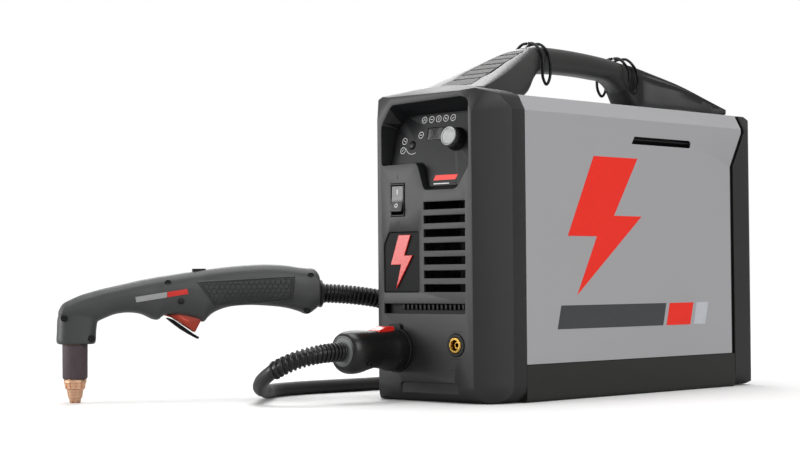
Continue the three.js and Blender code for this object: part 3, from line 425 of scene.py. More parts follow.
class Stock(Enum):
    """Each finish with the record's material slot it belongs to."""

    BEZEL = ("bezel_plastic", MouldedPlastic("bezel_grey", tint("202120"), 0.46))
    # A darker copy of the bezel plastic for the base tray: painted shade low down near the floor.
    TRAY = ("bezel_plastic", MouldedPlastic("tray_grey_painted_shade", tint("1e1f1c"), 0.5))
    # Near-black: painted shade on the walls inside the front's control recess, and the emblem
    # plate's own dark colour.
    RECESS_SHADE_AND_EMBLEM = (
        "bezel_plastic", MouldedPlastic("recess_shade_and_emblem_black", tint("141517"), 0.55, 0.00004, gloss=0.15)
    )
    DARK = (
        "dark_plastic", MouldedPlastic("fitting_black", tint("141516"), 0.42, 0.00005, gloss=0.3)
    )
    SWITCH = (
        "dark_plastic", MouldedPlastic("switch_black", tint("161718"), 0.2, 0.00002, gloss=0.6)
    )
    FILM = ("panel_film", Enamel("panel_film", tint("191a1c"), 0.45, 0.04, 0.2))
    PRINT = ("panel_film", Enamel("panel_print", tint("dfe0e0"), 0.4, 0.1))
    WINDOW = ("display_window", Window("smoked_window", tint("0a0c0b")))
    KNOB = ("knob_cap", BareMetal("satin_silver", tint("8e8f8f"), 0.45, (900, 900, 900), 0.12))
    HANDLE = ("handle_plastic", MouldedPlastic("handle_grey", tint("2a2b29"), 0.34, 0.00005))
    # Black copy of the handle plastic for the rear strut: painted shade on its recessed flanks.
    STRUT_SHADE = ("handle_plastic", MouldedPlastic("strut_painted_shade", tint("121312"), 0.34, 0.00005))
    PAD = ("handle_plastic", MouldedPlastic("pad_grey", tint("292a28"), 0.5, 0.0001))
    PAINT = ("cover_paint", SprayedSheet("cover_silver", tint("a9a9ab")))
    INK = ("cover_paint", Enamel("dark_ink", tint("3b3c3e"), 0.35, 0.25))
    PALE_INK = ("cover_paint", Enamel("pale_ink", tint("c8cad0"), 0.35, 0.25))
    RED_INK = ("cover_paint", Enamel("red_ink", tint("ff2814"), 0.4, 0.12, 0.35))
    RED = ("red_plastic", Enamel("red_plastic", tint("dc281d"), 0.24, 0.3))
    # A paler copy of the red plastic for the trigger: painted highlight, lifting it out of the shade
    # it sits in.
    TRIGGER = ("red_plastic", Enamel("trigger_red_painted_highlight", tint("ff6a56"), 0.22, 0.5))
    BRASS = ("brass", BareMetal("turned_brass", tint("d9ae58"), 0.22, (1200, 60, 1200)))
    COPPER = ("copper", BareMetal("turned_copper", tint("ffc6a2"), 0.2, (60, 60, 600), 0.01, 0.85))
    STEEL = ("core_steel", Banded("core_laminations", tint("8d9092"), tint("404244"), 0.0012))
    SPRING = ("core_steel", BareMetal("spring_steel", tint("9b9d9f"), 0.25, (700, 700, 700)))
    ALUMINIUM = ("aluminium", BareMetal("drawn_aluminium", tint("c3c5c7"), 0.35, (900, 20, 900)))
    WIRE = ("black_wire", BareMetal("black_wire", tint("2c2d2e"), 0.28, (300, 300, 60), 0.5))
    BOARD = (
        "circuit_board",
        Banded("laminate", tint("1f6136"), tint("12381f"), 0.004, "Y", 0.35, 0.1),
    )
    WINDING = (
        "copper_winding",
        Banded("wound_wire", tint("b06a35"), tint("46230f"), 0.0018, "Y", 0.3, 0.8),
    )
    TORCH = ("torch_plastic", MouldedPlastic("torch_black", tint("3f4140"), 0.45, 0.00006))
    GRIP = ("torch_plastic", MouldedPlastic("grip_black", tint("323433"), 0.55, 0.0001))
    PLUG = ("torch_plastic", MouldedPlastic("plug_black", tint("111211"), 0.34, 0.00004))
    # Near-black: painted shade in the torch's screw wells and the front slot comb, and the dark
    # print of the face marks.
    SHADE_AND_INK_BLACK = ("torch_plastic", MouldedPlastic("shade_and_ink_black", tint("0a0b0a"), 0.5, 0.00004, gloss=0.3))
    # Pale grey: the air filter's own colour, and on the plug's end ring a painted sheen of the end
    # face.
    GLAND = ("torch_plastic", MouldedPlastic("gland_grey", tint("6c706f"), 0.45, 0.00005))
    BADGE = ("torch_plastic", Enamel("badge_grey", tint("a2a3a2"), 0.3, 0.3))
    CAP = ("cap_fibre", Fibre("cap_fibre", tint("51454a")))
    LEAD = ("lead_rubber", Rubber("lead_rubber", tint("1e1f1e"), 0.5))
    BOOT = ("lead_rubber", Rubber("boot_rubber", tint("0e0f0e"), 0.3))

    @property
    def slot(self) -> str:
        """The record's material slot."""
        return self.value[0]

    @functools.cached_property
    def material(self) -> bpy.types.Material:
        """The Blender material, made once."""
        return self.value[1].material()


# ---- Shapes -------------------------------------------------------------------------------------


@dataclass
class Shape:
    """Points in metres with the faces that join them."""

    points: np.ndarray
    faces: list[list[int]]

    def __add__(self, other: "Shape") -> "Shape":
        """Both shapes in one mesh."""
        shift = len(self.points)
        moved = [[i + shift for i in face] for face in other.faces]
        return Shape(np.concatenate([self.points, other.points]), self.faces + moved)

    def moved(self, place: Matrix) -> "Shape":
        """The shape turned and moved by a matrix."""
        turn = np.array(place, float)
        return Shape(self.points @ turn[:3, :3].T + turn[:3, 3], self.faces)


def grid(points: np.ndarray, wrap_rows: bool = False, wrap: bool = True) -> Shape:
    """Surface over a grid of points.

    Args:
        points: Array of rows by columns by 3.
        wrap_rows: Whether the last row joins the first.
        wrap: Whether the last column joins the first.

    Returns:
        One four-sided face for each cell of the grid.
    """
    rows, columns = points.shape[:2]
    i, j = np.meshgrid(
        np.arange(rows if wrap_rows else rows - 1),
        np.arange(columns if wrap else columns - 1),
        indexing="ij",
    )
    k, m = (i + 1) % rows, (j + 1) % columns
    quads = np.stack([i * columns + j, i * columns + m, k * columns + m, k * columns + j], -1)
    return Shape(points.reshape(-1, 3), quads.reshape(-1, 4).tolist())


def closed_ends(surface: Shape, columns: int) -> Shape:
    """Adds a flat lid over the first and the last row of a grid that wraps round."""
    last = len(surface.points) - columns
    lids = [list(range(columns))[::-1], [last + i for i in range(columns)]]
    return Shape(surface.points, surface.faces + lids)


def turned(axis: Axis, profile: Sequence[Pair], centre: Point, sides: int = 64) -> Shape:
    """Profile turned about an axis: each point (r, h) becomes a ring of radius r at height h.

    Args:
        axis: Axis it turns about.
        profile: Radius and height in millimetres. It may start or end on the axis.
        centre: A point of the axis at height 0, in millimetres.
        sides: Points in each ring.

    Returns:
        The turned surface, closed where the profile meets the axis or its own start.
    """
    across, up, along = (np.array(v, float) for v in axis.value)
    radius, height = np.array(profile, float).T
    angle = np.linspace(0, 2 * np.pi, sides, endpoint=False)
    spoke = np.cos(angle)[:, None] * across + np.sin(angle)[:, None] * up
    rings = radius[:, None, None] * spoke + height[:, None, None] * along + np.array(centre)
    return grid(rings * MM)


def superellipse(
    half_across: np.ndarray, half_up: np.ndarray, power: np.ndarray, count: int
) -> np.ndarray:
    """Outlines x = a sgn(cos t)|cos t|^(2/p), y = b sgn(sin t)|sin t|^(2/p), one for each row."""
    angle = np.linspace(0, 2 * np.pi, count, endpoint=False)
    bend = 2 / np.asarray(power, float)[:, None]
    cos, sin = np.cos(angle)[None, :], np.sin(angle)[None, :]
    x = half_across[:, None] * np.sign(cos) * np.abs(cos) ** bend
    y = half_up[:, None] * np.sign(sin) * np.abs(sin) ** bend
    return np.stack([x, y], -1)


def smooth_rows(stations: Sequence[Sequence[float]], count: int) -> np.ndarray:
    """Rows between stations, each column a centripetal curve through the stations' values."""
    return spaced(flowing(stations, 12), count)


def tangents(points: np.ndarray) -> tuple[np.ndarray, np.ndarray]:
    """Slopes of the centripetal curve at the start and end of each stretch between points.

    With d the square root of each chord, the slope at a stretch's start is
    ((p1 - p0)/d0 - (p2 - p0)/(d0 + d1) + (p2 - p1)/d1) d1, and likewise at its end.
    """
    ends = np.concatenate([[2 * points[0] - points[1]], points, [2 * points[-1] - points[-2]]])
    step = np.sqrt(np.linalg.norm(np.diff(ends, axis=0), axis=1))[:, None]
    a, b, c, d = ends[:-3], ends[1:-2], ends[2:-1], ends[3:]
    d0, d1, d2 = step[:-2], step[1:-1], step[2:]
    start = ((b - a) / d0 - (c - a) / (d0 + d1) + (c - b) / d1) * d1
    end = ((c - b) / d1 - (d - b) / (d1 + d2) + (d - c) / d2) * d1
    return start, end


def flowing(points: Sequence[Sequence[float]], steps: int) -> np.ndarray:
    """Points along the centripetal curve through the given ones, that many to a stretch."""
    p = np.array(points, float)
    start, end = (t[:, None, :] for t in tangents(p))
    u = np.linspace(0, 1, steps, endpoint=False)[None, :, None]
    a, b = p[:-1, None, :], p[1:, None, :]
    cubic = (
        (2 * u**3 - 3 * u**2 + 1) * a
        + (u**3 - 2 * u**2 + u) * start
        + (3 * u**2 - 2 * u**3) * b
        + (u**3 - u**2) * end
    )
    return np.concatenate([cubic.reshape(-1, p.shape[1]), p[-1:]])


def lengths(line: np.ndarray) -> np.ndarray:
    """Distance along a line of points, from its start."""
    return np.concatenate([[0], np.cumsum(np.linalg.norm(np.diff(line, axis=0), axis=1))])


def spaced(line: np.ndarray, count: int, start: float = 0, end: float | None = None) -> np.ndarray:
    """Points evenly spaced along part of a line."""
    along = lengths(line)
    at = np.linspace(start, along[-1] if end is None else end, count)
    return np.stack([np.interp(at, along, column) for column in line.T], 1)


def unit(vectors: np.ndarray) -> np.ndarray:
    """Vectors of length 1."""
    return vectors / np.linalg.norm(vectors, axis=1, keepdims=True)


def level_frame(line: np.ndarray) -> tuple[np.ndarray, np.ndarray]:
    """Two directions across a line that never stands upright: one level, one at right angles."""
    ahead = unit(np.gradient(line, axis=0))
    level = unit(np.cross(ahead, [0.0, 0.0, 1.0]))
    return level, np.cross(level, ahead)


def tube(
    line: np.ndarray, across: np.ndarray, up: np.ndarray, radius: Any, sides: int = 12
) -> Shape:
    """Round tube: a circle of the radius in the plane of the two directions at each point."""
    angle = np.linspace(0, 2 * np.pi, sides, endpoint=False)
    reach = np.broadcast_to(np.asarray(radius, float), (len(line),))[:, None, None]
    spoke = np.cos(angle)[None, :, None] * across[:, None, :]
    spoke = spoke + np.sin(angle)[None, :, None] * up[:, None, :]
    return closed_ends(grid(line[:, None, :] + reach * spoke), sides)


def slab(outline: Sequence[Pair], low: float, high: float, place: Matrix) -> Shape:
    """Flat plate: an outline (x, y) in millimetres, from height low to high, then placed."""
    edge = np.array(outline, float)
    count = len(edge)
    levels = [np.column_stack([edge, np.full(count, h)]) for h in (low, high)]
    return closed_ends(grid(np.stack(levels) * MM), count).moved(place)


def flat_ring(
    centre: Pair, inner: float, outer: float, sides: int = 40
) -> tuple[list[Pair], list[Pair]]:
    """Inner and outer circle of a flat ring."""
    angle = np.linspace(0, 2 * np.pi, sides, endpoint=False)
    spoke = np.stack([np.cos(angle), np.sin(angle)], 1)
    return [(np.array(centre) + radius * spoke).tolist() for radius in (inner, outer)]


def washer(
    centre: Pair, inner: float, outer: float, low: float, high: float, place: Matrix
) -> Shape:
    """Flat ring of some thickness: its four circles joined in turn, then placed."""
    small, large = (np.array(c) for c in flat_ring(centre, inner, outer))
    levels = [(small, low), (large, low), (large, high), (small, high)]
    rings = [np.column_stack([circle, np.full(len(circle), h)]) for circle, h in levels]
    return grid(np.stack(rings) * MM, wrap_rows=True).moved(place)


def stroke(points: Sequence[Pair], width: float, low: float, high: float, place: Matrix) -> Shape:
    """Flat line of a width along points, offset by half the width to each side."""
    line = np.array(points, float)
    ahead = unit(np.gradient(line, axis=0))
    side = np.column_stack([-ahead[:, 1], ahead[:, 0]]) * width / 2
    edge = np.concatenate([line + side, (line - side)[::-1]])
    return slab(edge.tolist(), low, high, place)


def standing(origin: Point, right: Point, up: Point) -> Matrix:
    """Matrix of a flat drawing: its x along `right`, its y along `up`, origin in millimetres."""
    x, y = Vector(right).normalized(), Vector(up).normalized()
    z = x.cross(y)
    turn = Matrix((x, y, z)).transposed().to_4x4()
    return Matrix.Translation(Vector(origin) * MM) @ turn


# ---- Pieces -------------------------------------------------------------------------------------


def settled(obj: bpy.types.Object) -> bpy.types.Object:
    """Merges doubles, turns faces outward and shades by angle."""
    mesh = bmesh.new()
    mesh.from_mesh(obj.data)
    bmesh.ops.remove_doubles(mesh, verts=mesh.verts, dist=1e-6)
    bmesh.ops.recalc_face_normals(mesh, faces=mesh.faces)
    mesh.to_mesh(obj.data)
    mesh.free()
    return obj


def shaded(obj: bpy.types.Object, crease: float) -> None:
    """Smooth shading, with edges sharper than the crease angle left sharp."""
    obj.data.polygons.foreach_set("use_smooth", np.ones(len(obj.data.polygons), bool))
    obj.data.set_sharp_from_angle(angle=math.radians(crease))


def rounded(obj: bpy.types.Object, width: float, segments: int = 2, angle: float = 28) -> None:
    """Bevels the piece's edges by a width in millimetres."""
    bevel = obj.modifiers.new("rounding", "BEVEL")
    bevel.width, bevel.segments = width * MM, segments
    bevel.limit_method, bevel.angle_limit = "ANGLE", math.radians(angle)
    bevel.use_clamp_overlap = False
    bevel.harden_normals = True
    bevel.loop_slide = False


def plain_object(name: str, shape: Shape) -> bpy.types.Object:
    """Object of a shape, in the scene but with no finish yet."""
    mesh = bpy.data.meshes.new(name)
    mesh.from_pydata(shape.points, [], shape.faces)
    obj = bpy.data.objects.new(name, mesh)
    bpy.context.scene.collection.objects.link(obj)
    return settled(obj)


def applied(obj: bpy.types.Object) -> None:
    """Makes the modified mesh the object's own."""
    bpy.context.view_layer.update()
    graph = bpy.context.evaluated_depsgraph_get()
    made = bpy.data.meshes.new_from_object(obj.evaluated_get(graph))
    obj.modifiers.clear()
    obj.data = made


def carved(obj: bpy.types.Object, tools: Sequence[Shape]) -> None:
    """Cuts shapes out of the object."""
    cutters = [plain_object(f"cutter_{i}", tool) for i, tool in enumerate(tools)]
    for cutter in cutters:
        cut = obj.modifiers.new("cut", "BOOLEAN")
        cut.operation, cut.object, cut.solver = "DIFFERENCE", cutter, "EXACT"
    applied(obj)
    for cutter in cutters:
        bpy.data.objects.remove(cutter)


def dressed(
    obj: bpy.types.Object,
    stock: Stock,
    body: str,
    replaces: Sequence[str] = (),
    bevel: float = 0,
    crease: float = 35,
) -> bpy.types.Object:
    """Gives a piece its finish, edges and body, and hides the CAD nodes it stands for.

    Args:
        obj: The piece.
        stock: Its finish.
        body: The CAD body it moves with.
        replaces: CAD nodes it stands for.
        bevel: Width of its rounded edges in millimetres, or 0.
        crease: Sharpest angle in degrees that is still shaded smooth.

    Returns:
        The piece.
    """
    shaded(obj, crease)
    if bevel:
        rounded(obj, bevel)
    if not obj.data.materials:
        obj.data.materials.append(stock.material)
    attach(obj, body)
    if replaces:
        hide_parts(*replaces)
    log.info("%s: %d points, %s", obj.name, len(obj.data.vertices), stock.name.lower())
    return obj


def craft(
    name: str,
    shape: Shape,
    stock: Stock,
    body: str = CASE,
    replaces: Sequence[str] = (),
    bevel: float = 0,
    crease: float = 35,
) -> bpy.types.Object:
    """A new piece from a shape, finished as `dressed` says."""
    return dressed(plain_object(name, shape), stock, body, replaces, bevel, crease)


def softened(
    node: str, stock: Stock, body: str = CASE, bevel: float = 0.6, crease: float = 30
) -> bpy.types.Object:
    """A merged copy of a CAD node with rounded edges, standing for that node.

    Args:
        node: The CAD node.
        stock: Its finish.
        body: The CAD body it moves with.
        bevel: Width of its rounded edges in millimetres.
        crease: Sharpest angle in degrees that is still shaded smooth.

    Returns:
        The finished copy.
    """
    mesh = bmesh.new()
    mesh.from_mesh(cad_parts[node].data)
    bmesh.ops.remove_doubles(mesh, verts=mesh.verts, dist=SHORTEST_EDGE * MM)
    bmesh.ops.dissolve_limit(
        mesh, angle_limit=math.radians(FLAT_ANGLE), verts=mesh.verts, edges=mesh.edges
    )
    bmesh.ops.triangulate(mesh, faces=mesh.faces)
    data = bpy.data.meshes.new(f"{node}_form")
    mesh.to_mesh(data)
    mesh.free()
    obj = bpy.data.objects.new(f"{node}_form", data)
    bpy.context.scene.collection.objects.link(obj)
    obj.data.materials.clear()
    return dressed(obj, stock, body, [node], bevel, crease)


def coat(stock: Stock, *nodes: str) -> None:
    """Gives CAD nodes that stay in view a finish."""
    for node in nodes:
        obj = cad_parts[node]
        obj.data.materials.clear()
        obj.data.materials.append(stock.material)
        log.info("%s: %s", node, stock.name.lower())


# ---- Studio -------------------------------------------------------------------------------------


@dataclass
class Studio:
    """Pale floor, soft lights and the camera."""

    camera_at: Point = (1251.2, -1549.2, 119.3)
    yaw: float = 44.02
    pitch: float = 1.631
    roll: float = -0.45
    lens: float = 84.95
    floor_reach: float = 30.0
    floor_fade: Pair = (1.2, 2.6)
    fill: float = 0.42
    floor_bounce: float = 0.45

    def build(self) -> None:
        """Makes everything that isn't the object."""
        self.camera()
        self.floor()
        self.lights()

    def camera(self) -> None:
        """Camera at its place, turned about Z, then up, then about its own view."""
        data = bpy.data.cameras.new("camera")
        data.lens, data.sensor_width = self.lens, 36
        camera = bpy.data.objects.new("camera", data)
        bpy.context.scene.collection.objects.link(camera)
        turn = Matrix.Rotation(math.radians(self.yaw), 4, "Z")
        turn = turn @ Matrix.Rotation(math.radians(90 + self.pitch), 4, "X")
        turn = turn @ Matrix.Rotation(math.radians(self.roll), 4, "Z")
        camera.matrix_world = Matrix.Translation(Vector(self.camera_at) * MM) @ turn
        bpy.context.scene.camera = camera

    def floor(self) -> None:
        """Wide floor at height 0, which fades into the white surround as it goes away."""
        r = self.floor_reach
        corners = np.array([(-r, -r, 0), (r, -r, 0), (r, r, 0), (-r, r, 0)], float)
        floor = plain_object("floor", Shape(corners, [[0, 1, 2, 3]]))
        s = Shader("pale_floor", {"Specular IOR Level": 0.1, "Emission Strength": 1.0})
        pale = s.mix(s.noise(3, 3), tint("f4f4f3"), tint("f8f8f8"))
        seen = s.node("ShaderNodeLightPath", output="Is Camera Ray")
        away = s.node("ShaderNodeVectorMath", {"operation": "LENGTH"}, {0: s.spot()}, "Value")
        far = away.band(*self.floor_fade) * seen
        near = s.mix(seen, (self.floor_bounce,) * 3, pale)
        s.drive("Base Color", s.mix(far, near, (0, 0, 0)))
        s.drive("Emission Color", s.mix(far, (0, 0, 0), (1, 1, 1)))
        s.drive("Roughness", 0.6 + s.noise(30, 3) * 0.1)
        floor.data.materials.append(s.material)

    def light(self, name: str, at: Point, size: Pair, power: float) -> None:
        """Oblong area light that faces the middle of the case.

        Args:
            name: Its name.
            at: Its place in metres.
            size: Its width and height in metres.
            power: Its power in watts.
        """
        data = bpy.data.lights.new(name, "AREA")
        data.shape = "RECTANGLE"
        (data.size, data.size_y), data.energy = size, power
        light = bpy.data.objects.new(name, data)
        bpy.context.scene.collection.objects.link(light)
        light.location = at
        light.rotation_mode = "QUATERNION"
        light.rotation_quaternion = (Vector((0, 0, 0.15)) - Vector(at)).to_track_quat("-Z", "Y")

    def lights(self) -> None:
        """Broad soft lights and a pale surround."""
        self.light("key", (-1.9, -2.3, 0.7), (2.8, 1.2), 58)
        self.light("side", (3.2, -0.6, 1.6), (2.0, 2.0), 48)
        self.light("overhead", (-0.2, 0.2, 3.0), (2.4, 2.4), 60)
        self.light("back", (-2.2, 1.6, 1.8), (1.6, 1.6), 25)
        world = bpy.data.worlds.new("surround")
        world.use_nodes = True
        tree = world.node_tree
        backdrop = tree.nodes["Background"]
        backdrop.inputs["Color"].default_value = (1, 1, 1, 1)
        seen = tree.nodes.new("ShaderNodeLightPath").outputs["Is Camera Ray"]
        level = tree.nodes.new("ShaderNodeMapRange")
        level.inputs["To Min"].default_value = self.fill
        tree.links.new(seen, level.inputs["Value"])
        tree.links.new(level.outputs[0], backdrop.inputs["Strength"])
        bpy.context.scene.world = world
        bpy.context.scene.view_settings.view_transform = "Standard"


# ---- Lead ---------------------------------------------------------------------------------------


@dataclass
class Lead:
    """Torch lead: out of the plug, along the floor, coiled behind, and up to the torch."""

    front: Sequence[Point] = (
        (-38, -296.2, 50), (-38.4, -308, 49.9), (-42, -321, 48.8), (-49, -332.5, 46),
        (-58, -341, 42), (-68.5, -346.8, 36.8), (-81, -349, 30.6), (-95, -346, 23.5),
        (-109, -337, 17.5),
        (-122, -324, 13.5), (-136, -307, 11), (-152, -290, 8.5), (-167, -274, 7.3),
        (-178, -255, 7.1), (-184, -230, 7.1), (-186, -200, 7.1), (-184, -170, 7.1),
        (-181, -140, 7.1), (-180, -108, 7.1), (-182, -72, 7.1), (-192, -34, 7.1),
        (-213, 0, 7.1), (-240, 27, 7.1), (-268, 51, 7.1), (-286, 70, 7.1), (-291.5, 84, 7.1),
    )
    rear: Sequence[Point] = (
        (-112, 84, 49), (-111, 40, 49.5), (-108.5, 0, 53), (-106, -40, 61), (-104.5, -75, 71),
        (-104.5, -110, 82.5), (-107, -145, 93), (-113.5, -171, 99.3), (-121.5, -189, 102.3),
        (-131.3, -206.2, 104.3), (-141.2, -222.7, 105.4),
    )
    radius: float = 7.0
    coil_centre: Pair = (-202, 140)
    coil_inner: float = 50
    coil_outer: float = 90
    layers: int = 4
    layer_turns: float = 2.875
    climb_turn: float = 0.5
    points_a_turn: int = 16
    front_boot: float = 76
    rear_boot: float = 112
    wire: float = 1.35

    def coil(self) -> np.ndarray:
        """Flat layers that wind in, out, in and out, clockwise seen from above.

        The radius is a triangle wave between the outer and inner one, a layer for each
        slope, and the height climbs a diameter over part of a turn where the layer changes.
        """
        total = self.layers * self.layer_turns
        turn = np.linspace(0, total, int(total * self.points_a_turn) + 1)
        layer = turn / self.layer_turns
        fold = np.abs((layer % 2) - 1)
        radius = self.coil_inner + (self.coil_outer - self.coil_inner) * fold
        rise = np.arange(1, self.layers)[:, None] * self.layer_turns
        climb = np.clip((turn - rise) / self.climb_turn + 0.5, 0, 1)
        steps = (climb * climb * (3 - 2 * climb)).sum(0)
        angle = np.pi - 2 * np.pi * turn
        x = self.coil_centre[0] + radius * np.cos(angle)
        y = self.coil_centre[1] + radius * np.sin(angle)
        return np.column_stack([x, y, self.radius + 0.1 + 2 * self.radius * steps])

    def route(self) -> np.ndarray:
        """Every point of the lead, in millimetres."""
        return np.concatenate([np.array(self.front), self.coil(), np.array(self.rear)])

    def cord(self) -> None:
        """The lead as one curve through its route."""
        points = self.route() * MM
        start, end = tangents(points)
        data = bpy.data.curves.new("torch_lead", "CURVE")
        data.dimensions = "3D"
        data.resolution_u = 6
        data.bevel_depth, data.bevel_resolution = self.radius * MM, 5
        data.use_fill_caps = True
        line = data.splines.new("BEZIER")
        line.bezier_points.add(len(points) - 1)
        line.bezier_points.foreach_set("co", points.ravel())
        line.bezier_points.foreach_set("handle_left_type", np.zeros(len(points), np.int32))
        line.bezier_points.foreach_set("handle_right_type", np.zeros(len(points), np.int32))
        before = points - np.concatenate([start[:1], end]) / 3
        after = points + np.concatenate([start, end[-1:]]) / 3
        line.bezier_points.foreach_set("handle_left", before.ravel())
        line.bezier_points.foreach_set("handle_right", after.ravel())
        obj = bpy.data.objects.new("torch_lead", data)
        bpy.context.scene.collection.objects.link(obj)
        data.materials.append(Stock.LEAD.material)
        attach(obj, TORCH)
        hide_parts("lead_from_plug", "lead_coil", "lead_to_torch")
        float(lengths(flowing(points, 12))[-1])
        log.info("torch_lead: %d points", len(points))

    def boot(
        self, name: str, node: str, line: np.ndarray, pitch: Pair, radius: float
    ) -> bpy.types.Object:
        """Strain relief: a sleeve under a wire wound round the lead, its pitch opening out.

        The wire's centre is P(s) + R (cos t N + sin t B), where t grows as 2 pi s over a
        pitch that runs from one value to the other along the boot.

        Args:
            name: Piece name.
            node: CAD node it stands for.
            line: Centre line from the housing outward, in metres.
            pitch: Spacing of the turns at the housing and at the free end, in millimetres.
            radius: Outside radius at the housing, in millimetres.

        Returns:
            The piece.
        """
        dense = spaced(line, 1500)
        length = lengths(dense)
        spacing = np.interp(length, [0, length[-1]], pitch) * MM
        turns = np.concatenate([[0], np.cumsum(np.diff(length) / spacing[1:])])
        level, up = level_frame(dense)
        angle = 2 * np.pi * turns[:, None]
        spoke = np.cos(angle) * level + np.sin(angle) * up
        taper = np.interp(length, [0, length[-1]], [radius, radius - 0.4])
        centre = dense + spoke * (taper - self.wire)[:, None] * MM
        side = unit(np.cross(unit(np.gradient(centre, axis=0)), spoke))
        coil = tube(centre, spoke, side, self.wire * MM, 8)
        few = spaced(line, 60)
        sleeve = tube(few, *level_frame(few), (self.radius + 0.25) * MM, 28)
        return craft(name, coil + sleeve, Stock.BOOT, TORCH, [node], crease=60)

    def tie(self, name: str, degrees: float) -> bpy.types.Object:
        """Strap round the coil: a rounded rectangle of radius and height, drawn wide."""
        inner, outer = self.coil_inner - self.radius, self.coil_outer + self.radius
        top = self.layers * 2 * self.radius
        corner = 5.0
        quarter = np.linspace(0, np.pi / 2, 7)
        hubs = [
            (outer - corner, top - corner, 0), (inner + corner, top - corner, 1),
            (inner + corner, corner, 2), (outer - corner, corner, 3),
        ]
        rounds = [
            (hub[0] + corner * np.cos(quarter + hub[2] * np.pi / 2),
             hub[1] + corner * np.sin(quarter + hub[2] * np.pi / 2)) for hub in hubs
        ]
        loop = np.concatenate([np.column_stack(part) for part in rounds])
        middle = loop.mean(0)
        out = loop + unit(loop - middle) * 1.1
        out[:, 1] = np.maximum(out[:, 1], 0.05)
        half = 8.0
        rings = [(loop, -half), (out, -half), (out, half), (loop, half)]
        points = np.stack(
            [np.column_stack([r[:, 0], np.full(len(r), w), r[:, 1]]) for r, w in rings]
        )
        place = Matrix.Translation((*(c * MM for c in self.coil_centre), 0))
        place = place @ Matrix.Rotation(math.radians(degrees), 4, "Z")
        shape = grid(points * MM, wrap_rows=True).moved(place)
        return craft(name, shape, Stock.DARK, TORCH, bevel=0.2)

    def build(self, plug: Sequence[Any]) -> None:
        """Makes the boots, the ties and then the lead."""
        front = flowing(np.array(self.front) * MM, 24)
        rear = flowing(np.array(self.rear) * MM, 24)[::-1]
        at_plug = spaced(front, 400, 0, self.front_boot * MM)
        at_torch = spaced(rear, 400, 0, self.rear_boot * MM)
        boots = [
            self.boot("plug_boot", "plug_strain_relief", at_plug, (3.4, 5.6), 9.3),
            self.boot("torch_boot", "torch_strain_relief", at_torch, (3.8, 5.2), 9.9),
        ]
        ties = [self.tie("coil_tie_front", 215), self.tie("coil_tie_rear", 35)]
        self.cord()


# ---- Case ---------------------------------------------------------------------------------------


@dataclass
class Casework:
    """Moulded ends, sheet cover and base tray, with the printed side graphics."""

    half_width: float = 86.5
    recess_x: Pair = (-59.5, 59.5)
    recess_z: Pair = (203, 295)
    face_y: float = -219.8
    lip_y: float = -214
    lip_z: float = 270
    bolt: Sequence[Pair] = (
        (-66, 240), (6, 240), (-34, 181), (12, 181), (-94, 102), (-62, 160), (-108, 160),
    )
    bar: Pair = (-125, 47)
    red_bar: Pair = (53, 95)
    pale_bar: Pair = (101, 122)
    bar_z: Pair = (69, 92)
    slant: float = 6.0

    def build(self) -> None:
        """Makes the case."""
        self.bezel()
        softened("cover", Stock.PAINT, bevel=0.5)
        # Base tray in the darker copy of the bezel plastic: painted shade.
        softened("base_tray", Stock.TRAY, bevel=0.9)
        softened("rear_bezel", Stock.BEZEL, bevel=0.8)
        # Black strip set back in the rear seam, standing in for the gap's shadow: painted shade.
        softened("rear_seam_strip", Stock.DARK, bevel=0.3)
        softened("side_louvre_right", Stock.DARK, bevel=0.4)
        softened("side_louvre_left", Stock.DARK, bevel=0.4)
        for side in Side:
            self.graphics(side)

    def bezel(self) -> None:
        """Front moulding, with painted shade: a near-black copy of its plastic inside the control
        recess.
        """
        obj = softened("front_bezel", Stock.BEZEL, bevel=0.5)
        obj.data.materials.append(Stock.RECESS_SHADE_AND_EMBLEM.material)
        count = len(obj.data.polygons)
        centre = np.zeros(count * 3)
        obj.data.polygons.foreach_get("center", centre)
        x, y, z = centre.reshape(-1, 3).T / MM
        # Mask of the recess faces that take the near-black finish: painted shade.
        inside = (x > self.recess_x[0]) & (x < self.recess_x[1])
        inside &= (z > self.recess_z[0]) & (z < self.recess_z[1])
        inside &= y > np.where(z < self.lip_z, self.face_y, self.lip_y)
        obj.data.polygons.foreach_set("material_index", inside.astype(np.int32))

    def graphics(self, side: Side) -> None:
        """Raised bolt and plain slanting bars, printed on one side."""
        sign = side.value
        place = standing((sign * self.half_width, 0, 0), (0, sign, 0), (0, 0, 1))
        tag = side.name.lower()

        def block(name: str, ends: Pair, stock: Stock) -> None:
            """One slanting bar."""
            (low, high), (y0, y1) = self.bar_z, ends
            edge = [(y0, low), (y1, low), (y1 + self.slant, high), (y0 + self.slant, high)]
            self.printed(f"{name}_{tag}", edge, stock, place, sign)

        self.printed(f"side_bolt_{tag}", self.bolt, Stock.RED_INK, place, sign)
        block("side_bar", self.bar, Stock.INK)
        block("side_red_bar", self.red_bar, Stock.RED_INK)
        block("side_pale_bar", self.pale_bar, Stock.PALE_INK)

    def printed(
        self, name: str, edge: Sequence[Pair], stock: Stock, place: Matrix, sign: int
    ) -> None:
        """Thin printed plate on the cover's side, mirrored so that it reads alike on both."""
        ahead = [(sign * y, z) for y, z in edge]
        shape = slab([(sign * y, z) for y, z in ahead], -0.3, 0.25, place)
        craft(name, shape, stock, bevel=0.08)


# ---- Front --------------------------------------------------------------------------------------


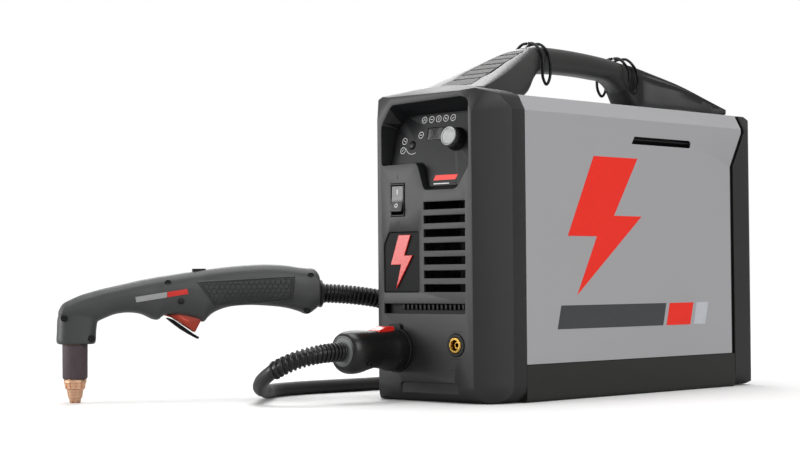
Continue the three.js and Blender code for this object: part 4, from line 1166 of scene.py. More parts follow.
@dataclass
class ControlFace:
    """Controls in the tilted recess, with the switch, slots and emblem below them."""

    tilt: float = 11.9
    foot: Point = (0, -215, 205)
    plate: float = 1.5
    icons: Sequence[Pair] = (
        (-16, 71), (-6.5, 71), (3, 71), (12.5, 71), (22, 71), (-18, 55.8), (-39.1, 50.7),
        (-39.8, 41.2),
    )
    icon_radius: float = 3.4
    knob: Pair = (30.7, 49)
    button: Pair = (-28, 46)
    rocker_high: tuple[Point, Point] = ((-35.2, -221.5, 204.2), (0, 0.01, 1))
    rocker_low: tuple[Point, Point] = ((-35.2, -223.3, 190.9), (0, 0.266, 0.964))

    @property
    def place(self) -> Matrix:
        """Panel frame: x across, -y out of the panel, z up along it."""
        turn = Matrix.Rotation(-math.radians(self.tilt), 4, "X")
        return Matrix.Translation(Vector(self.foot) * MM) @ turn

    @property
    def drawing(self) -> Matrix:
        """Flat drawing on the panel: x across, y up it, z out of it."""
        return self.place @ Matrix.Rotation(math.radians(90), 4, "X")

    def build(self) -> None:
        """Makes the front's controls."""
        softened("control_panel", Stock.FILM, bevel=0.25)
        softened("display_window", Stock.WINDOW, bevel=0.25)
        softened("switch_frame", Stock.DARK, bevel=0.35)
        softened("rocker_switch", Stock.SWITCH, "rocker", bevel=0.6)
        softened("front_louvre", Stock.DARK, bevel=0.25)
        # Slot comb in the near-black of painted shade.
        softened("slot_comb", Stock.SHADE_AND_INK_BLACK, bevel=0.2)
        # The emblem plate's own near-black, the same finish as the recess's painted shade.
        softened("emblem_plate", Stock.RECESS_SHADE_AND_EMBLEM, bevel=0.3)
        softened("emblem_bolt", Stock.RED, bevel=0.45)
        self.turned_controls()
        self.prints()
        self.switch_marks()

    def turned_controls(self) -> None:
        """Knob with a fluted skirt, its cap, and the mode button."""
        (kx, kv), (bx, bv) = self.knob, self.button
        profile = [
            (0, -8.4), (9.0, -8.4), (9.6, -8.1), (10.4, -6.6), (11.6, -2.6), (11.9, -2.2),
            (3.5, -2.2), (3.5, 8.8), (0, 8.8),
        ]
        skirt = turned(Axis.Y, profile, (0, 0, 0), 144)
        angle = np.arctan2(skirt.points[:, 0], skirt.points[:, 2])
        reach = np.hypot(skirt.points[:, 0], skirt.points[:, 2])
        flute = 1 - 0.03 * (reach > 8.5 * MM) * (np.cos(24 * angle) > 0.2)
        skirt.points[:, 0] *= flute
        skirt.points[:, 2] *= flute
        spot = self.place @ Matrix.Translation((kx * MM, 0, kv * MM))
        craft("knob_skirt_form", skirt.moved(spot), Stock.DARK, "knob", ["knob_skirt"], bevel=0.15)
        cap = [
            (0, -14.1), (7.6, -14.1), (7.9, -14.5), (9.1, -14.6), (9.6, -14.1), (9.8, -13.4),
            (9.8, -9.2), (9.5, -8.7), (0, -8.7),
        ]
        shape = turned(Axis.Y, cap, (0, 0, 0), 96).moved(spot)
        craft("knob_cap_form", shape, Stock.KNOB, "knob", ["knob_cap"], bevel=0.15)
        pip = [(0, -2.9), (2.6, -2.8), (3.3, -2.5), (3.8, -1.9), (4, -1.2), (4, 6), (0, 6)]
        spot = self.place @ Matrix.Translation((bx * MM, 0, bv * MM))
        shape = turned(Axis.Y, pip, (0, 0, 0), 48).moved(spot)
        craft("mode_button_form", shape, Stock.DARK, "mode_button", ["mode_button"])

    def prints(self) -> None:
        """Plain printed signs: circles with simple strokes, and a curved guide line."""
        low, high = self.plate - 0.1, self.plate + 0.12
        made = Shape(np.zeros((0, 3)), [])
        strokes = [
            [(-1.4, -1.2), (0, 1.5), (1.4, -1.2)], [(-1.5, 0), (1.5, 0)], [(0, -1.6), (0, 1.6)],
            [(-1.4, 0.9), (0.2, -0.9), (1.5, 0.6)], [(-1.4, -0.8), (1.4, 0.8)],
            [(-1.6, 0), (1.6, 0)], [(-1.2, 0.9), (1.3, -0.7)], [(-1.2, -0.9), (0.4, 1.2)],
        ]
        for (x, v), line in zip(self.icons, strokes):
            made += washer(
                (x, v), self.icon_radius - 0.55, self.icon_radius, low, high, self.drawing
            )
            made += stroke([(x + a, v + b) for a, b in line], 0.6, low, high, self.drawing)
        bend = np.linspace(math.radians(200), math.radians(300), 14)
        arc = [(-27 + 9.5 * math.cos(a), 46.5 + 9.5 * math.sin(a)) for a in bend]
        made += stroke(arc, 0.45, low, high, self.drawing)
        craft("panel_prints", made, Stock.PRINT)
        plain = slab([(7, 9), (36, 9), (38, 14), (9, 14)], low, high, self.drawing)
        craft("panel_red_bar", plain, Stock.RED_INK)
        thin = slab([(8, 5), (28, 5), (28, 6), (8, 6)], low, high, self.drawing)
        craft("panel_rule", thin, Stock.PRINT)

    def switch_marks(self) -> None:
        """On and off signs by the rocker, and the thin rules round the work socket."""
        face = standing((0, -221, 0), (1, 0, 0), (0, 0, 1))
        x, top, low = -35.2, 219, 173.5
        marks = washer((x, low), 1.5, 2.1, -0.2, 0.12, face)
        marks += stroke([(x, top - 2), (x, top + 2)], 0.8, -0.2, 0.12, face)
        for z in (68.4, 42.5, 31.7):
            marks += stroke([(33, z), (48, z)], 0.5, -0.2, 0.1, face)
        craft("face_marks", marks, Stock.SHADE_AND_INK_BLACK)
        line = stroke([(0, -2.4), (0, 2.4)], 1.1, -0.3, 0.12, Matrix())
        ring = washer((0, 0), 1.3, 2.1, -0.3, 0.12, Matrix())
        self.rocker_mark("rocker_on_mark", self.rocker_high, line)
        self.rocker_mark("rocker_off_mark", self.rocker_low, ring)

    def rocker_mark(self, name: str, seat: tuple[Point, Point], sign: Shape) -> None:
        """White sign on one half of the rocker: its seat is a point and the way up its face."""
        at, up = seat
        craft(name, sign.moved(standing(at, (1, 0, 0), up)), Stock.PRINT, "rocker")


# ---- Plug and sockets ---------------------------------------------------------------------------


@dataclass
class Sockets:
    """Torch receptacle with its plug, and the work lead's socket."""

    plug: Pair = (-38, 50)
    work: Pair = (40.2, 55.5)
    pocket: Pair = (-254.4, -231.6)
    pocket_half: float = 8.4
    stations: Sequence[Sequence[float]] = (
        (-224.8, 50, 20.4, 20.4), (-234, 50, 20.2, 20.2), (-243, 50.8, 19, 18.8),
        (-256, 51.4, 18.6, 18), (-268, 50.6, 19.4, 19.2), (-279, 49.6, 20, 20.6),
        (-288, 49.2, 19.4, 20.2), (-293, 49.4, 17.4, 18), (-294.6, 49.6, 15.6, 16.2),
        (-295, 49.6, 14.5, 15),
    )

    def build(self) -> list[Any]:
        """Makes the sockets and the plug, and returns what is on the lead."""
        x, z = self.plug
        ring = [
            (0, -195), (16, -195), (16, -223.6), (16.6, -224.3), (21.2, -224.3), (22, -223.6),
            (22, -221.3), (19, -221.3), (19, -190), (0, -190),
        ]
        lug = [(-7.6, 18), (7.6, 18), (7.6, 23.6), (5.6, 25.3), (-6.6, 25.3), (-8.6, 23.6)]
        shape = turned(Axis.Y, ring, (x, 0, z), 96)
        shape += slab(lug, 221.4, 224.1, standing((x, 0, z), (1, 0, 0), (0, 0, 1)))
        craft("torch_receptacle_form", shape, Stock.DARK, replaces=["torch_receptacle"], bevel=0.2)
        self.work_socket()
        return self.plug_pieces()

    def work_socket(self) -> None:
        """Brass contact with a stepped bore, in its insulating body."""
        x, z = self.work
        body = [
            (7.7, -221.6), (8.1, -222), (10.4, -222), (11, -221.4), (11, -194), (7.7, -194),
            (7.7, -221.6),
        ]
        shape = turned(Axis.Y, body, (x, 0, z), 72)
        craft("work_socket_form", shape, Stock.DARK, replaces=["work_socket_body"])
        contact = [
            (5.2, -223), (6.9, -223), (7.4, -222.5), (7.4, -188), (5, -188), (5, -221), (5.2, -223),
        ]
        leaf = [(2.1, -219.5), (3.6, -219.5), (3.6, -200), (2.1, -200), (2.1, -219.5)]
        pin = turned(Axis.Y, leaf, (x, 0, z), 36)
        shape = turned(Axis.Y, contact, (x, 0, z), 72) + pin
        craft("work_contact_form", shape, Stock.BRASS, replaces=["work_socket_contact"], bevel=0.12)

    def plug_pieces(self) -> list[Any]:
        """Plug shell with its button, end gland and screws; the gland's pale grey is a painted sheen
        on the plug's end face.
        """
        x, z = self.plug
        rows = smooth_rows(self.stations, 70)
        outline = superellipse(rows[:, 2], rows[:, 3], np.full(len(rows), 2.3), 72)
        points = np.stack([
            x + outline[..., 0],
            np.broadcast_to(rows[:, :1], outline.shape[:2]),
            rows[:, 1:2] + outline[..., 1],
        ], -1)
        shell = plain_object("plug_shell", closed_ends(grid(points * MM), 72))
        (near, far), half = self.pocket, self.pocket_half
        corners = [(x - half, near), (x + half, near), (x + half, far), (x - half, far)]
        pocket = slab(corners, 58, 80, Matrix())
        carved(shell, [pocket])
        dressed(shell, Stock.PLUG, TORCH, ["plug_body"], crease=40)
        profile = [(0, -197), (14.2, -197), (15, -198), (15, -226), (0, -226)]
        nose = turned(Axis.Y, profile, (x, 0, z), 64)
        pieces = [shell, craft("plug_nose", nose, Stock.PLUG, TORCH)]
        gland = [
            # Pale ring on the plug's end: painted sheen of the end face.
            (7.4, -296.1), (11.4, -296.1), (12.2, -295.6), (13.6, -295.3), (13.8, -294.2),
            (7.4, -294.2), (7.4, -296.1),
        ]
        ring = turned(Axis.Y, gland, (x, 0, 49.6), 72)
        pieces.append(craft("plug_gland", ring, Stock.GLAND, TORCH, bevel=0.2))
        button = softened("release_button", Stock.RED, "release_button", bevel=0.7)
        pieces.append(button)
        screws = {"plug_screw_front": (-19.4, -234, 40), "plug_screw_rear": (-19, -277, 38)}
        for name, at in screws.items():
            pieces.append(craft(name, screw(Axis.X, at, 2.6), Stock.DARK, TORCH))
        return pieces


def screw(axis: Axis, at: Point, radius: float) -> Shape:
    """Domed screw head with a deep socket: a turned profile, out along the axis."""
    r = radius
    profile = [
        (0, -0.6), (r * 0.42, -0.6), (r * 0.5, 0.75), (r * 0.72, 0.8), (r * 0.94, 0.55),
        (r, 0.1), (r, -1.2), (0, -1.2),
    ]
    return turned(axis, profile, at, 36)


# ---- Handle -------------------------------------------------------------------------------------


@dataclass
class CarryHandle:
    """Arched handle with its grooved pad and the two wire clips."""

    sections: Sequence[Sequence[float]] = (
        (-184, 296, 305.5, 47, 8), (-170, 296, 311.5, 45, 8), (-140, 296, 325, 39, 7),
        (-110, 298, 339, 31, 6), (-90, 304, 348, 25, 4.6), (-74, 318, 354, 20, 3),
        (-60, 327.5, 357, 17.4, 2.4), (-40, 330.4, 358, 17, 2.3), (0, 331.6, 357.6, 17, 2.3),
        (40, 330.6, 355.6, 17, 2.3), (66, 328.4, 353.4, 17, 2.3), (82, 320, 351, 17.2, 2.6),
        (96, 304, 349, 18.4, 4), (112, 296, 344, 25, 5), (140, 296, 331, 45, 6),
        (170, 296, 314, 61, 8), (190, 296, 303.4, 70, 8),
    )
    around: int = 96
    rows: int = 150
    pad: Pair = (-176, -84)
    web: Pair = (98, 184)
    web_depth: float = 2.2
    shaded_strut_from: float = 84
    clips: Sequence[tuple[str, float, float, float, float, float]] = (
        ("wire_clip_front", -58, 11, 20.1, 360.4, 317),
        ("wire_clip_rear", 87, 14, 21.6, 356, 317),
    )
    clip_radius: float = 1.5

    def build(self) -> None:
        """Makes the handle."""
        self.arch()
        softened("handle_pad", Stock.PAD, bevel=0.5)
        for clip in self.clips:
            self.clip(*clip)

    def arch(self) -> None:
        """Superellipse sections carried along smooth curves through the stations.

        The strut's top sinks by the pad's depth where the pad lies. Each flank of the rear
        strut steps in by the web's depth between a rib at its top and one at its foot.
        """
        rows = smooth_rows(self.sections, self.rows)
        y, low, high, half, power = rows.T
        outline = superellipse(half, (high - low) / 2, power, self.around)
        z = (low + high)[:, None] / 2 + outline[..., 1]
        x = outline[..., 0]
        at = np.broadcast_to(y[:, None], x.shape)
        narrow = np.interp(at, self.pad, [22.4, 13.4])
        along = np.clip((at - self.pad[0]) / 2, 0, 1) * np.clip((self.pad[1] - at) / 2, 0, 1)
        inside = np.clip((narrow - np.abs(x)) / 1.5, 0, 1) * along
        upper = z > (low + high)[:, None] / 2
        z = z - 2.9 * inside * upper
        level = outline[..., 1] / ((high - low) / 2)[:, None]
        web = np.clip((0.72 - np.abs(level + 0.1)) / 0.12, 0, 1)
        web = web * np.clip((at - self.web[0]) / 8, 0, 1) * np.clip((self.web[1] - at) / 8, 0, 1)
        x = x - np.sign(x) * self.web_depth * web * (np.abs(x) > 0.8 * half[:, None])
        points = np.stack([x, at, z], -1)
        shape = closed_ends(grid(points * MM), self.around)
        obj = plain_object("handle_form", shape)
        # Faces behind the rear strut's start take the black copy: painted shade on the rear strut.
        for stock in (Stock.HANDLE, Stock.STRUT_SHADE):
            obj.data.materials.append(stock.material)
        centre = np.zeros(len(obj.data.polygons) * 3)
        obj.data.polygons.foreach_get("center", centre)
        behind = centre.reshape(-1, 3)[:, 1] > self.shaded_strut_from * MM
        obj.data.polygons.foreach_set("material_index", behind.astype(np.int32))
        dressed(obj, Stock.HANDLE, CASE, ["handle"], crease=50)

    def clip(
        self, name: str, y: float, spacing: float, side: float, top: float, bottom: float
    ) -> None:
        """Bent wire: a hairpin on each side of the grip and two wires over the top.

        Args:
            name: The CAD node it stands for.
            y: Its middle along the handle.
            spacing: Distance between its two wires.
            side: How far out the hairpins hang.
            top: Height over the grip.
            bottom: Height of the hairpins' bends.
        """
        half = spacing / 2

        def over(shift: float, sign: int) -> list[Point]:
            """One wire from the top down to a hairpin."""
            return [
                (sign * 7, y + shift, top - 0.6), (sign * 14.5, y + shift, top - 6),
                (sign * side, y + shift, top - 17), (sign * side, y + shift, bottom + 7),
            ]

        route = [
            (1.2, y - half, top), *over(-half, 1), (side, y, bottom), *over(half, 1)[::-1],
            (0, y + half, top), *over(half, -1), (-side, y, bottom), *over(-half, -1)[::-1],
            (-1.2, y - half, top),
        ]
        line = spaced(flowing(np.array(route) * MM, 24), 260)
        ahead = unit(np.gradient(line, axis=0))
        out = line - np.array([0, y, (top + bottom) / 2]) * MM
        across = unit(np.cross(ahead, out))
        shape = tube(line, across, np.cross(ahead, across), self.clip_radius * MM, 14)
        craft(f"{name}_form", shape, Stock.WIRE, replaces=[name], crease=60)


# ---- Rear ---------------------------------------------------------------------------------------


@dataclass
class RearFittings:
    """Fan with its guard, the gas inlet and the power cord's gland."""

    fan: Pair = (20, 168)
    inlet: Pair = (-52, 122)
    gland: Pair = (-52, 66)
    blades: int = 7

    def build(self) -> None:
        """Makes the rear's fittings."""
        softened("fan_frame", Stock.DARK, bevel=0.6)
        self.guard()
        self.rotor()
        self.ports()

    def guard(self) -> None:
        """Round rings and a rim joined by four bars."""
        x, z = self.fan
        rim = [
            (53.5, 217.4), (54, 217), (56.2, 217), (56.7, 217.4), (56.7, 220), (56.2, 220.4),
            (54, 220.4), (53.5, 220), (53.5, 217.4),
        ]
        shape = turned(Axis.Y, rim, (x, 0, z), 96)
        angle = np.linspace(0, 2 * np.pi, 96, endpoint=False)
        for radius in (9, 18, 27.5, 37, 46):
            spoke = np.stack([np.cos(angle), np.zeros(96), np.sin(angle)], 1)
            line = np.array([x, 218.6, z]) + radius * spoke
            ring = line[:, None, :] + self.around(spoke)
            shape += grid(ring * MM, wrap_rows=True)
        for turn in range(4):
            low, high = 217.3, 219.9
            plate = slab([(9, -1.4), (55, -1.4), (55, 1.4), (9, 1.4)], low, high, Matrix())
            quarter = Matrix.Rotation(math.pi / 2 * turn, 4, "Y")
            place = Matrix.Translation((x * MM, 0, z * MM)) @ quarter
            shape += plate.moved(place @ Matrix.Rotation(math.radians(-90), 4, "X"))
        craft("rear_grille_form", shape, Stock.DARK, replaces=["rear_grille"])

    @staticmethod
    def around(spoke: np.ndarray) -> np.ndarray:
        """Small circle in the plane of each spoke and the fan's axis."""
        turn = np.linspace(0, 2 * np.pi, 10, endpoint=False)
        out = np.cos(turn)[None, :, None] * spoke[:, None, :]
        return 1.25 * (out + np.sin(turn)[None, :, None] * np.array([0, 1, 0]))

    def rotor(self) -> None:
        """Hub with cambered blades whose pitch eases from root to tip.

        A blade's point at radius r and chord c lies at angle c cos(p)/r and depth c sin(p),
        with p the pitch at that radius, plus a camber of (c/11)^2.
        """
        x, z = self.fan
        hub = [
            (0, 193), (15, 191.8), (19, 192.4), (20, 194), (20, 209), (18.5, 210), (6, 210),
            (5, 209.2), (0, 209.2),
        ]
        shape = turned(Axis.Y, hub, (x, 0, z), 64)
        radius = np.linspace(19, 51.4, 16)[:, None]
        chord = np.concatenate([np.linspace(-10, 10, 15), np.linspace(10, -10, 15)])[None, :]
        skin_offset = np.concatenate([np.full(15, 0.6), np.full(15, -0.6)])[None, :]
        pitch = np.radians(np.interp(radius, [19, 51.4], [52, 30]))
        depth = 201.8 + chord * np.sin(pitch) * 0.85 + 1.2 * (chord / 11) ** 2 + skin_offset
        swing = chord * np.cos(pitch) / radius
        for blade in range(self.blades):
            angle = swing + 2 * np.pi * blade / self.blades
            px, pz = x + radius * np.cos(angle), z + radius * np.sin(angle)
            points = np.stack([px, depth, pz], -1)
            shape += closed_ends(grid(points * MM), points.shape[1])
        craft("fan_rotor_form", shape, Stock.DARK, "fan", ["fan_rotor"])

    def ports(self) -> None:
        """Cord gland with a ribbed nut, and the barbed brass inlet with its hexagon."""
        (gx, gz), (ix, iz) = self.gland, self.inlet
        nut = [
            (4.6, 212), (12, 212), (12, 221.3), (14.4, 221.3), (14.5, 222), (14.5, 228.4),
            (14, 229.2), (9.6, 232.6), (9, 233), (4.6, 233), (4.6, 212),
        ]
        shape = turned(Axis.Y, nut, (0, 0, 0), 144)
        angle = np.arctan2(shape.points[:, 0], shape.points[:, 2])
        reach = np.hypot(shape.points[:, 0], shape.points[:, 2])
        rib = 1 - 0.035 * (reach > 13.9 * MM) * (np.cos(16 * angle) > 0)
        shape.points[:, 0] *= rib
        shape.points[:, 2] *= rib
        place = Matrix.Translation((gx * MM, 0, gz * MM))
        shape = shape.moved(place)
        stood_for = ["power_cord_gland"]
        craft("power_cord_gland_form", shape, Stock.DARK, replaces=stood_for, bevel=0.15)
        barb = [
            (3.2, 205), (9.8, 205), (10, 221.3), (10, 226), (6, 227), (6, 229), (7, 230.5), (6, 232),
            (7, 233.5), (6, 235), (7, 236.5), (6, 238), (7, 240), (6, 242), (3.2, 242), (3.2, 205),
        ]
        inlet = turned(Axis.Y, barb, (ix, 0, iz), 72)
        corners = np.radians(np.arange(0, 360, 60))
        hexagon = [(11.9 * math.cos(a), 11.9 * math.sin(a)) for a in corners]
        flat = standing((ix, 221.4, iz), (-1, 0, 0), (0, 0, 1))
        shape = inlet + slab(hexagon, 0, 4.4, flat)
        craft("gas_inlet_form", shape, Stock.BRASS, replaces=["gas_inlet_fitting"], bevel=0.25)


# ---- Torch --------------------------------------------------------------------------------------


@dataclass
class HandTorch:
    """Hand torch: moulded handle, trigger with its guard lever, cap, copper shield."""

    tip: Point = (-270.9, -438.5, 0)
    turn: float = 59
    axis_x: float = 2.6
    half: float = 17
    power: float = 2.7
    grip: Sequence[Sequence[float]] = (
        (-12.6, 84, 90), (-9, 82, 97), (0, 81, 102), (9, 80, 105.8), (22, 79, 109.7),
        (31, 82.6, 112), (42, 86.6, 114.4), (56, 87.9, 117.5), (68, 86, 120.1), (78.7, 81, 122),
        (84, 80.4, 123), (89, 84.2, 123.7), (107, 84.2, 126.4), (124, 80, 128.8),
        (129.4, 77.5, 129.6), (133, 81.6, 130.1), (139, 86.6, 130.9), (153, 92, 132.5),
        (172, 94, 134), (192, 93.3, 134.8), (213, 91, 133.7), (227, 87.2, 131.6),
        (235.3, 84.2, 130.7), (242, 88, 130.2), (246.6, 92, 125),
    )
    head: Sequence[Sequence[float]] = (
        (57.6, -13.2, 20.4), (58.4, -14.6, 21.8), (60, -15.2, 22.6), (70, -14.8, 23),
        (84, -13.9, 24.8), (96, -9, 26),
    )
    voxel: float = 1.0
    neck_x: float = 30
    head_side: float = 15.8
    screws: Sequence[Pair] = (
        (-9.2, 83.2), (17.2, 63.4), (92.5, 116.7), (104.9, 98.9), (236.7, 122.9), (232.9, 88.1),
    )

    @property
    def place(self) -> Matrix:
        """Torch frame: x runs back from the nozzle, z up."""
        turn = Matrix.Rotation(math.radians(self.turn), 4, "Z")
        return Matrix.Translation(Vector(self.tip) * MM) @ turn

    def build(self) -> None:
        """Makes the torch."""
        self.handle()
        self.grips()
        self.badge()
        self.fasteners()
        self.front_end()
        # Trigger in the paler red: painted highlight.
        softened("trigger", Stock.TRIGGER, "trigger", bevel=0.7)
        softened("safety_lever", Stock.DARK, "safety_lever", bevel=0.4)
        softened("torch_lock_slide", Stock.DARK, "torch_lock", bevel=0.5)
        self.return_spring()
        coat(Stock.DARK, "start_switch")

    def return_spring(self) -> None:
        """Coil spring above the trigger: a rounded copy of its CAD node with a mesh of its own."""
        spring = softened("trigger_spring", Stock.SPRING, TORCH, bevel=0.1)
        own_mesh(spring)

    def side_of(self, x: np.ndarray, z: np.ndarray) -> np.ndarray:
        """Half width of the handle at a place on its side, from its superellipse section."""
        stations = np.array(self.grip)
        low, high = (np.interp(x, stations[:, 0], stations[:, k]) for k in (1, 2))
        share = np.clip(np.abs(z - (low + high) / 2) / ((high - low) / 2), 0, 0.999)
        return self.half * (1 - share**self.power) ** (1 / self.power)

    def handle(self) -> None:
        """Grip and head skinned, fused on a fine grid, eased, then scored along the seam."""
        rows = smooth_rows(self.grip, 160)
        x, low, high = rows.T
        half, power = np.full(len(x), self.half), np.full(len(x), self.power)
        outline = superellipse(half, (high - low) / 2, power, 72)
        points = np.stack([
            np.broadcast_to(x[:, None], outline.shape[:2]),
            outline[..., 0],
            (low + high)[:, None] / 2 + outline[..., 1],
        ], -1)
        grip = closed_ends(grid(points * MM), 72)
        z, front, back = smooth_rows(self.head, 40).T
        half, power = np.full(len(z), self.half - 1), np.full(len(z), 3.2)
        outline = superellipse((back - front) / 2, half, power, 72)
        points = np.stack([
            (front + back)[:, None] / 2 + outline[..., 0],
            outline[..., 1],
            np.broadcast_to(z[:, None], outline.shape[:2]),
        ], -1)
        head = closed_ends(grid(points * MM), 72)
        obj = plain_object("torch_handle", grip + head)
        fuse = obj.modifiers.new("fuse", "REMESH")
        fuse.mode, fuse.voxel_size = "VOXEL", self.voxel * MM
        ease = obj.modifiers.new("ease", "SMOOTH")
        ease.factor, ease.iterations = 0.5, 8
        applied(obj)
        self.score(obj)
        carved(obj, [
            slab([(88.6, -7), (127.2, -7), (127.2, 7), (88.6, 7)], 60, 106, Matrix()),
            slab([(118.5, -4), (139.5, -4), (139.5, 4), (118.5, 4)], 126, 140, Matrix()),
            turned(Axis.Z, [(0, 40), (13.1, 40), (13.1, 92), (0, 92)], (self.axis_x, 0, 0), 64),
        ])
        obj.data.transform(self.place)
        dressed(obj, Stock.TORCH, TORCH, ["torch_shell_left", "torch_shell_right"], crease=40)

    def score(self, obj: bpy.types.Object) -> None:
        """Sinks the seam between the two shells by half a millimetre."""
        count = len(obj.data.vertices)
        co, normal = np.zeros(count * 3), np.zeros(count * 3)
        obj.data.vertices.foreach_get("co", co)
        obj.data.vertices.foreach_get("normal", normal)
        co, normal = co.reshape(-1, 3), normal.reshape(-1, 3)
        depth = 0.55 * MM * np.clip(1 - np.abs(co[:, 1]) / (1.1 * MM), 0, 1)
        obj.data.vertices.foreach_set("co", (co - normal * depth[:, None]).ravel())
        obj.data.update()

    def patch(self, corners: Sequence[Pair], lift: Any, sign: int, cells: tuple[int, int]) -> Shape:
        """Closed plate that follows the handle's side between four corners (x, z).

        Args:
            corners: Lower front, lower back, upper back and upper front corner.
            lift: Height over the handle in millimetres, or a function of x and z.
            sign: Which side of the torch.
            cells: Cells along and across.

        Returns:
            The plate, 1.6 mm deep into the handle.
        """
        u, v = (np.linspace(0, 1, n + 1) for n in cells)
        u, v = np.meshgrid(u, v, indexing="ij")
        a, b, c, d = (np.array(p, float) for p in corners)
        flat = ((1 - u) * (1 - v))[..., None] * a + (u * (1 - v))[..., None] * b
        flat = flat + (u * v)[..., None] * c + ((1 - u) * v)[..., None] * d
        x, z = flat[..., 0], flat[..., 1]
        raised = lift(x, z, u, v) if callable(lift) else lift
        y = self.side_of(x, z)
        top = np.stack([x, sign * (y + raised), z], -1)
        bottom = np.stack([x, sign * (y - 1.6), z], -1)
        rim = np.concatenate([top, bottom[:, ::-1]], 1)
        return closed_ends(grid(rim * MM), rim.shape[1]).moved(self.place)

    def grips(self) -> None:
        """Raised grip panels with rows of six-sided cells.

        The cells are the nearest points of a triangular net; the groove follows where the
        distances to the two nearest are alike.
        """
        pitch = 5.4

        def relief(x: np.ndarray, z: np.ndarray, u: np.ndarray, v: np.ndarray) -> np.ndarray:
            """Height of the panel: cells, grooves and a sloping rim."""
            row = pitch * math.sqrt(3) / 2
            i, j = np.round(z / row), x / pitch
            best = []
            for step in (-1, 0, 1):
                k = i + step
                shift = 0.5 * (k % 2)
                near = np.round(j - shift)
                for other in (-1, 0, 1):
                    best.append(np.hypot(x - (near + other + shift) * pitch, z - k * row))
            near, second = np.sort(np.stack(best), 0)[:2]
            cell = np.clip((second - near) / 0.9, 0, 1)
            inward = np.minimum.reduce([u * 85, (1 - u) * 85, v * 28, (1 - v) * 28])
            frame_edge = np.clip(inward, 0, 1) - np.clip((inward - 1.6) * 2, 0, 1)
            field_inside = np.clip((inward - 2.8) * 1.5, 0, 1)
            return 0.8 * frame_edge + field_inside * (0.15 + 0.75 * cell)

        corners = ((139, 92.5), (217.5, 97.2), (220.5, 123.5), (120, 118.5))
        for sign, name in ((-1, "torch_grip_right"), (1, "torch_grip_left")):
            craft(name, self.patch(corners, relief, sign, (230, 80)), Stock.GRIP, TORCH, crease=70)

    def badge(self) -> None:
        """Plain two-colour badge on each side."""
        pale = ((60.8, 98.1), (91, 102.7), (91, 108), (59.8, 103.4))
        red = ((91.4, 102.8), (112.4, 106), (110.8, 110.9), (91.4, 108))
        for sign, tag in ((-1, "right"), (1, "left")):
            craft(f"torch_badge_{tag}", self.patch(pale, 0.25, sign, (30, 6)), Stock.BADGE, TORCH)
            craft(f"torch_badge_red_{tag}", self.patch(red, 0.25, sign, (20, 6)), Stock.RED, TORCH)

    def fasteners(self) -> None:
        """Screws on the camera's side, each on a near-black disc: painted shade of its shallow well.
        """
        heads, wells = Shape(np.zeros((0, 3)), []), Shape(np.zeros((0, 3)), [])
        for x, z in self.screws:
            side = max(float(self.side_of(np.array(x), np.array(z))), 13.5)
            depth = side if x > self.neck_x else self.head_side
            spot = Matrix.Translation((x * MM, -depth * MM, z * MM))
            rim = [
                (0, 2.5), (3.3, 2.5), (3.3, -0.25), (3.0, -0.4), (2.7, -0.25), (2.7, 0.1),
                (0, 0.1),
            ]
            wells += turned(Axis.Y, rim, (0, 0, 0), 36).moved(spot)
            head = screw(Axis.Y, (0, 0, 0), 2.0)
            head.points[:, 1] *= -1
            heads += head.moved(spot)
        # Near-black discs under the screws: painted shade in the wells.
        craft("torch_well_shade", wells.moved(self.place), Stock.SHADE_AND_INK_BLACK, TORCH)
        craft("torch_screws", heads.moved(self.place), Stock.DARK, TORCH)
        collar = [
            (7.5, 237), (9, 237), (9, 247.2), (13.2, 247.2), (13.8, 247.8), (14.2, 250),
            (13.6, 250.6), (12.2, 250.8), (11.6, 251.4), (10.4, 252.4), (7.5, 252.4), (7.5, 237),
        ]
        shape = turned(Axis.X, collar, (0, 0, 105), 72).moved(self.place)
        craft("torch_collar_form", shape, Stock.BOOT, TORCH, ["torch_collar"])

    def front_end(self) -> None:
        """Retaining cap, slotted copper shield and the parts inside them."""
        at = (self.axis_x, 0, 0)
        cap = [
            (9.6, 23.4), (11.2, 23.4), (11.8, 24), (12.3, 25.2), (12.4, 57.2), (10.4, 57.2),
            (10.4, 28), (9.6, 27), (9.6, 23.4),
        ]
        shape = turned(Axis.Z, cap, at, 96).moved(self.place)
        craft("retaining_cap_form", shape, Stock.CAP, "retaining_cap", ["retaining_cap"])
        profile = [
            (1.9, 0), (4.9, 0), (5.3, 0.5), (5.9, 4.2), (6.9, 5.2), (8.3, 13), (9.9, 14.2),
            (10.5, 19.4), (11.2, 20.2), (11.2, 22.6), (10.9, 23), (9.4, 23), (7.4, 13), (5, 4),
            (1.9, 3), (1.9, 0),
        ]
        shield = turned(Axis.Z, profile, (0, 0, 0), 240)
        x, y, z = shield.points.T / MM
        angle, reach = np.arctan2(y, x), np.hypot(x, y)
        flute = (np.cos(12 * angle) > 0.55) & (z > 14) & (z < 19.8) & (reach > 9.6)
        notch = (np.cos(6 * angle) > 0.7) & (z < 1) & (reach > 4)
        scale = np.where(flute, (reach - 0.9) / np.maximum(reach, 1), 1.0)
        shield.points[:, 0] *= scale
        shield.points[:, 1] *= scale
        shield.points[:, 2] += np.where(notch, 1.4, 0) * MM
        place = self.place @ Matrix.Translation((self.axis_x * MM, 0, 0))
        shape = shield.moved(place)
        craft("shield_form", shape, Stock.COPPER, "retaining_cap", ["shield"], crease=30)
        coat(Stock.COPPER, "nozzle", "electrode")
        coat(Stock.CAP, "swirl_ring")
        coat(Stock.BRASS, "torch_main_body")


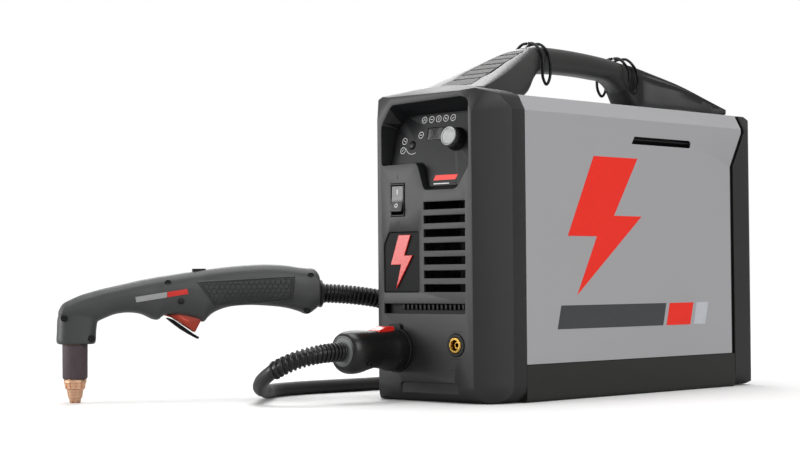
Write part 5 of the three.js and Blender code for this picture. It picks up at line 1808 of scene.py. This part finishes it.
@dataclass
class Internals:
    """What the covers hide: plates, board, core, winding and gas parts."""

    finishes: dict[str, Stock] = field(default_factory=lambda: {
        "centre_divider": Stock.ALUMINIUM,
        "power_board": Stock.BOARD,
        "heat_sink": Stock.ALUMINIUM,
        "main_transformer": Stock.STEEL,
        "output_inductor": Stock.WINDING,
        "air_filter": Stock.GLAND,
        "gas_valve": Stock.BRASS,
        "gas_hose": Stock.LEAD,
    })

    def build(self) -> None:
        """Gives each inner part its finish."""
        for node, stock in self.finishes.items():
            coat(stock, node)


def main() -> None:
    """Builds everything in order."""
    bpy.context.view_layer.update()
    Studio().build()
    on_lead = Sockets().build()
    Lead().build(on_lead)
    Casework().build()
    ControlFace().build()
    CarryHandle().build()
    RearFittings().build()
    HandTorch().build()
    Internals().build()


if __name__ == "__main__":
    logging.basicConfig(level=logging.INFO, format="%(message)s")
    main()
